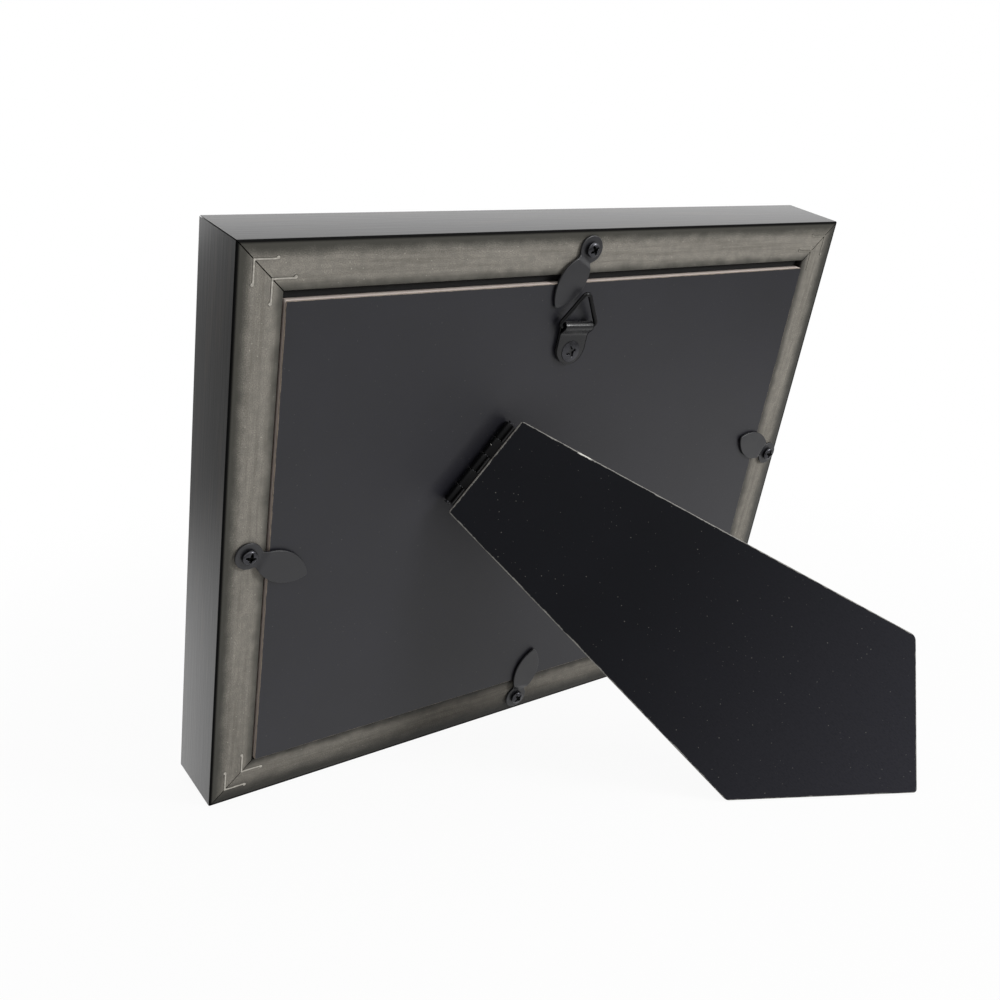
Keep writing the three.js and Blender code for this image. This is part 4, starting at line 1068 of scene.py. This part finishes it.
RIVETS = {"board": ("frame", BACKING_THICKNESS, 7, 0, on_hinge),
          "strut": ("strut", STRUT_THICKNESS, 13, math.pi, on_open_strut)}
for part, (body, sheet, across, turn, put) in RIVETS.items():
    points, faces = rivet(sheet)
    for label, along in (("upper", RIVET_ALONG), ("lower", -RIVET_ALONG)):
        lifted = turned_about(points + [0, 0, SEAT_GAP - LEAF_INSIDE], "x", turn)
        new_piece(f"rivet_{part}_{label}", put(lifted + [across, along, 0]), faces, oxide, body,
                  [f"{part}_rivet_{label}"])

# %% [markdown]
# From the front come the glass, a card mat with a window for each pick, the picks and the card
# that they lie on. The photograph shows none of these, so they follow what such frames hold:
# black card with a cream core, and picks of celluloid in plain and mottled colours.

# %% Glass and cards
GLASS_TINT, GLASS_IOR = "f7fcfa", 1.52
MAT_FRONT, MAT_BACK, MOUNT_FRONT, MOUNT_BACK = -7.3, -5.8, -5.5, -2.5


def picture_glass():
    """Float glass, 2 mm: clear and smooth, with a very faint wave in its polish."""
    material, tree, shader = new_material("picture_glass")
    wave = noise(own_coordinates(tree), 60.0, 1.0)
    connect(shader, {
        "Base Color": linear(GLASS_TINT), "Transmission Weight": 1.0, "IOR": GLASS_IOR,
        "Roughness": between(wave, 0.2, 0.8, 0.0, 0.015)})
    return material


def museum_card(name, face, tooth, core, face_height, back_height):
    """Mount card: a dyed paper face with a fine tooth over a paler core, which the cut shows.
    Its back and the last 0.4 mm of its edge are near black: painted shade, which keeps dark the
    gap where that edge shows by the board."""
    material, tree, shader = new_material(name)
    place = own_coordinates(tree)
    height = split(place)["Z"]
    fibre = noise(place, 0.5, 4.0, 0.7)
    colour = layered(
        core, (height, face_height + 0.3, face_height + 0.15, 1.0, mixed(fibre, face, tooth)),
        # Painted shade: the back and the last of the edge are near black, so the gap by the board
        # stays dark.
        (height, back_height - 0.6, back_height - 0.4, 1.0, "121212"))
    connect(shader, {"Base Color": colour, "Roughness": 0.9, "Normal": bump(fibre, 0.00006)})
    return material


nodes["glazing"].material_slots[0].material = picture_glass()
nodes["mat_board"].material_slots[0].material = museum_card(
    "black_mat_card", "1b1b1c", "262627", "d9d3c4", MAT_FRONT, MAT_BACK)
nodes["mount_board"].material_slots[0].material = museum_card(
    "cream_mount_card", "cfc9ba", "dcd7ca", "dcd7ca", MOUNT_FRONT, MOUNT_BACK)
print("glass and cards finished")

# %% Picks
def celluloid(name, dark, light, cell, contrast):
    """Polished celluloid sheet: two colours marbled in cells of about the given millimetres."""
    material, tree, shader = new_material(name)
    swirl = noise(own_coordinates(tree), cell, 3.0, 0.5, distortion=1.6)
    connect(shader, {
        "Base Color": mixed(between(swirl, 0.5 - contrast, 0.5 + contrast), dark, light),
        "Roughness": 0.16, "Coat Weight": 0.4, "Coat Roughness": 0.06})
    return material


PICK_FINISHES = {
    "pick_brown": ("tortoiseshell_celluloid", "2a0f05", "b4601c", 6.0, 0.10),
    "pick_white": ("pearl_celluloid", "c9c4b8", "f3f0e8", 4.0, 0.18),
    "pick_black": ("black_celluloid", "101011", "1f1f22", 5.0, 0.2),
    "pick_red": ("red_pearl_celluloid", "7c1410", "c93a2c", 4.0, 0.16),
    "pick_blue": ("blue_pearl_celluloid", "12305e", "3f78b8", 4.0, 0.16),
    "pick_amber": ("amber_celluloid", "b4661a", "eab35a", 6.0, 0.16),
}
pick_materials = {slot: celluloid(*finish) for slot, finish in PICK_FINISHES.items()}
pick_names = [f"pick_{number}" for number in range(1, 13)]
for name in pick_names:
    slot_of_node = nodes[name].material_slots[0]
    slot_of_node.material = pick_materials[slot_of_node.material.name.split(".")[0]]
smooth(*pick_names)
print("picks finished:", len(pick_names))

# %% [markdown]
# The photograph is cut out on pure white. The world and the floor are white to the camera, and
# the floor keeps a faint shadow of the frame. Reflections see them too: the sweep is bright by
# the frame and dims further out, which gives the sides and the back their gradients. The light
# that the world casts stays low. A soft key lamp stands to the camera's right, because the
# shadows of the fittings fall to the left, and a large lamp hangs overhead. Here the distances
# are in metres, from the middle of the floor.

# %% Floor, world and light
WHITE = (1, 1, 1, 1)
FLOOR_HALF = 4.0
SHADOW_DISTANCES, SHADOW_SHARE = (0.14, 0.42), 0.94
GLOW_DISTANCES, GLOW_FAR, GLOSS_SHARE = (0.2, 0.52), 0.2, 0.8
WORLD_LIGHT = 0.24
LAMP_TARGET = np.array([0.0, 0.0, 0.09])

floor_mesh = bpy.data.meshes.new("floor")
floor_mesh.from_pydata([(FLOOR_HALF * x, FLOOR_HALF * y, 0) for x, y in
                        ((-1, -1), (1, -1), (1, 1), (-1, 1))], [], [[0, 1, 2, 3]])
floor = add_object("floor", floor_mesh)

material, tree, shader = new_material("pale_paper_sweep")
place = add(tree, "ShaderNodeTexCoord").outputs["Object"]
connect(shader, {"Base Color": mixed(noise(place, 0.025, 2.0, 0.5), "ebebea", "efefee"),
                 "Roughness": 0.9, "Specular IOR Level": 0.0})
rays = add(tree, "ShaderNodeLightPath").outputs
distance = add(tree, "ShaderNodeVectorMath", {0: place}, operation="LENGTH").outputs["Value"]
glow = maths("MAXIMUM", rays["Is Camera Ray"], between(distance, *GLOW_DISTANCES, 1.0, GLOW_FAR))
white = add(tree, "ShaderNodeEmission", {"Color": WHITE, "Strength": glow}).outputs[0]
to_camera = maths("MULTIPLY", rays["Is Camera Ray"],
                  between(distance, *SHADOW_DISTANCES, SHADOW_SHARE, 1.0))
share = maths("MAXIMUM", to_camera, maths("MULTIPLY", rays["Is Glossy Ray"], GLOSS_SHARE))
blend = add(tree, "ShaderNodeMixShader", {0: share, 1: shader.outputs[0], 2: white}).outputs[0]
connect(tree.nodes["Material Output"], {"Surface": blend})
floor_mesh.materials.append(material)

world = bpy.data.worlds.new("white_studio")
bpy.context.scene.world = world
world.use_nodes = True
rays = add(world.node_tree, "ShaderNodeLightPath").outputs
seen = maths("MAXIMUM", *(rays[f"Is {kind} Ray"] for kind in ("Camera", "Glossy", "Transmission")))
connect(world.node_tree.nodes["Background"], {
    "Color": WHITE, "Strength": between(seen, 0.0, 1.0, WORLD_LIGHT, 1.0)})


def soft_lamp(name, direction, distance, size, power):
    """A square area lamp in a direction from the middle of the frame, which it looks at."""
    lamp = add_object(name, bpy.data.lights.new(name, "AREA"))
    lamp.data.size, lamp.data.energy = size, power
    away = np.array(direction) / np.linalg.norm(direction)
    axes = camera_axes(math.atan2(-away[0], -away[1]), math.asin(-away[2]), 0)
    lamp.matrix_world = looking((LAMP_TARGET + away * distance).tolist(), *axes)


soft_lamp("key", 1.0 * right + 0.3 * upward - 0.45 * forward, distance=1.6, size=0.5, power=15.0)
soft_lamp("overhead", (0.0, 0.15, 1.0), distance=1.3, size=1.5, power=11.0)
bpy.context.scene.view_settings.view_transform = "Standard"
print("world, floor and two lamps ready")
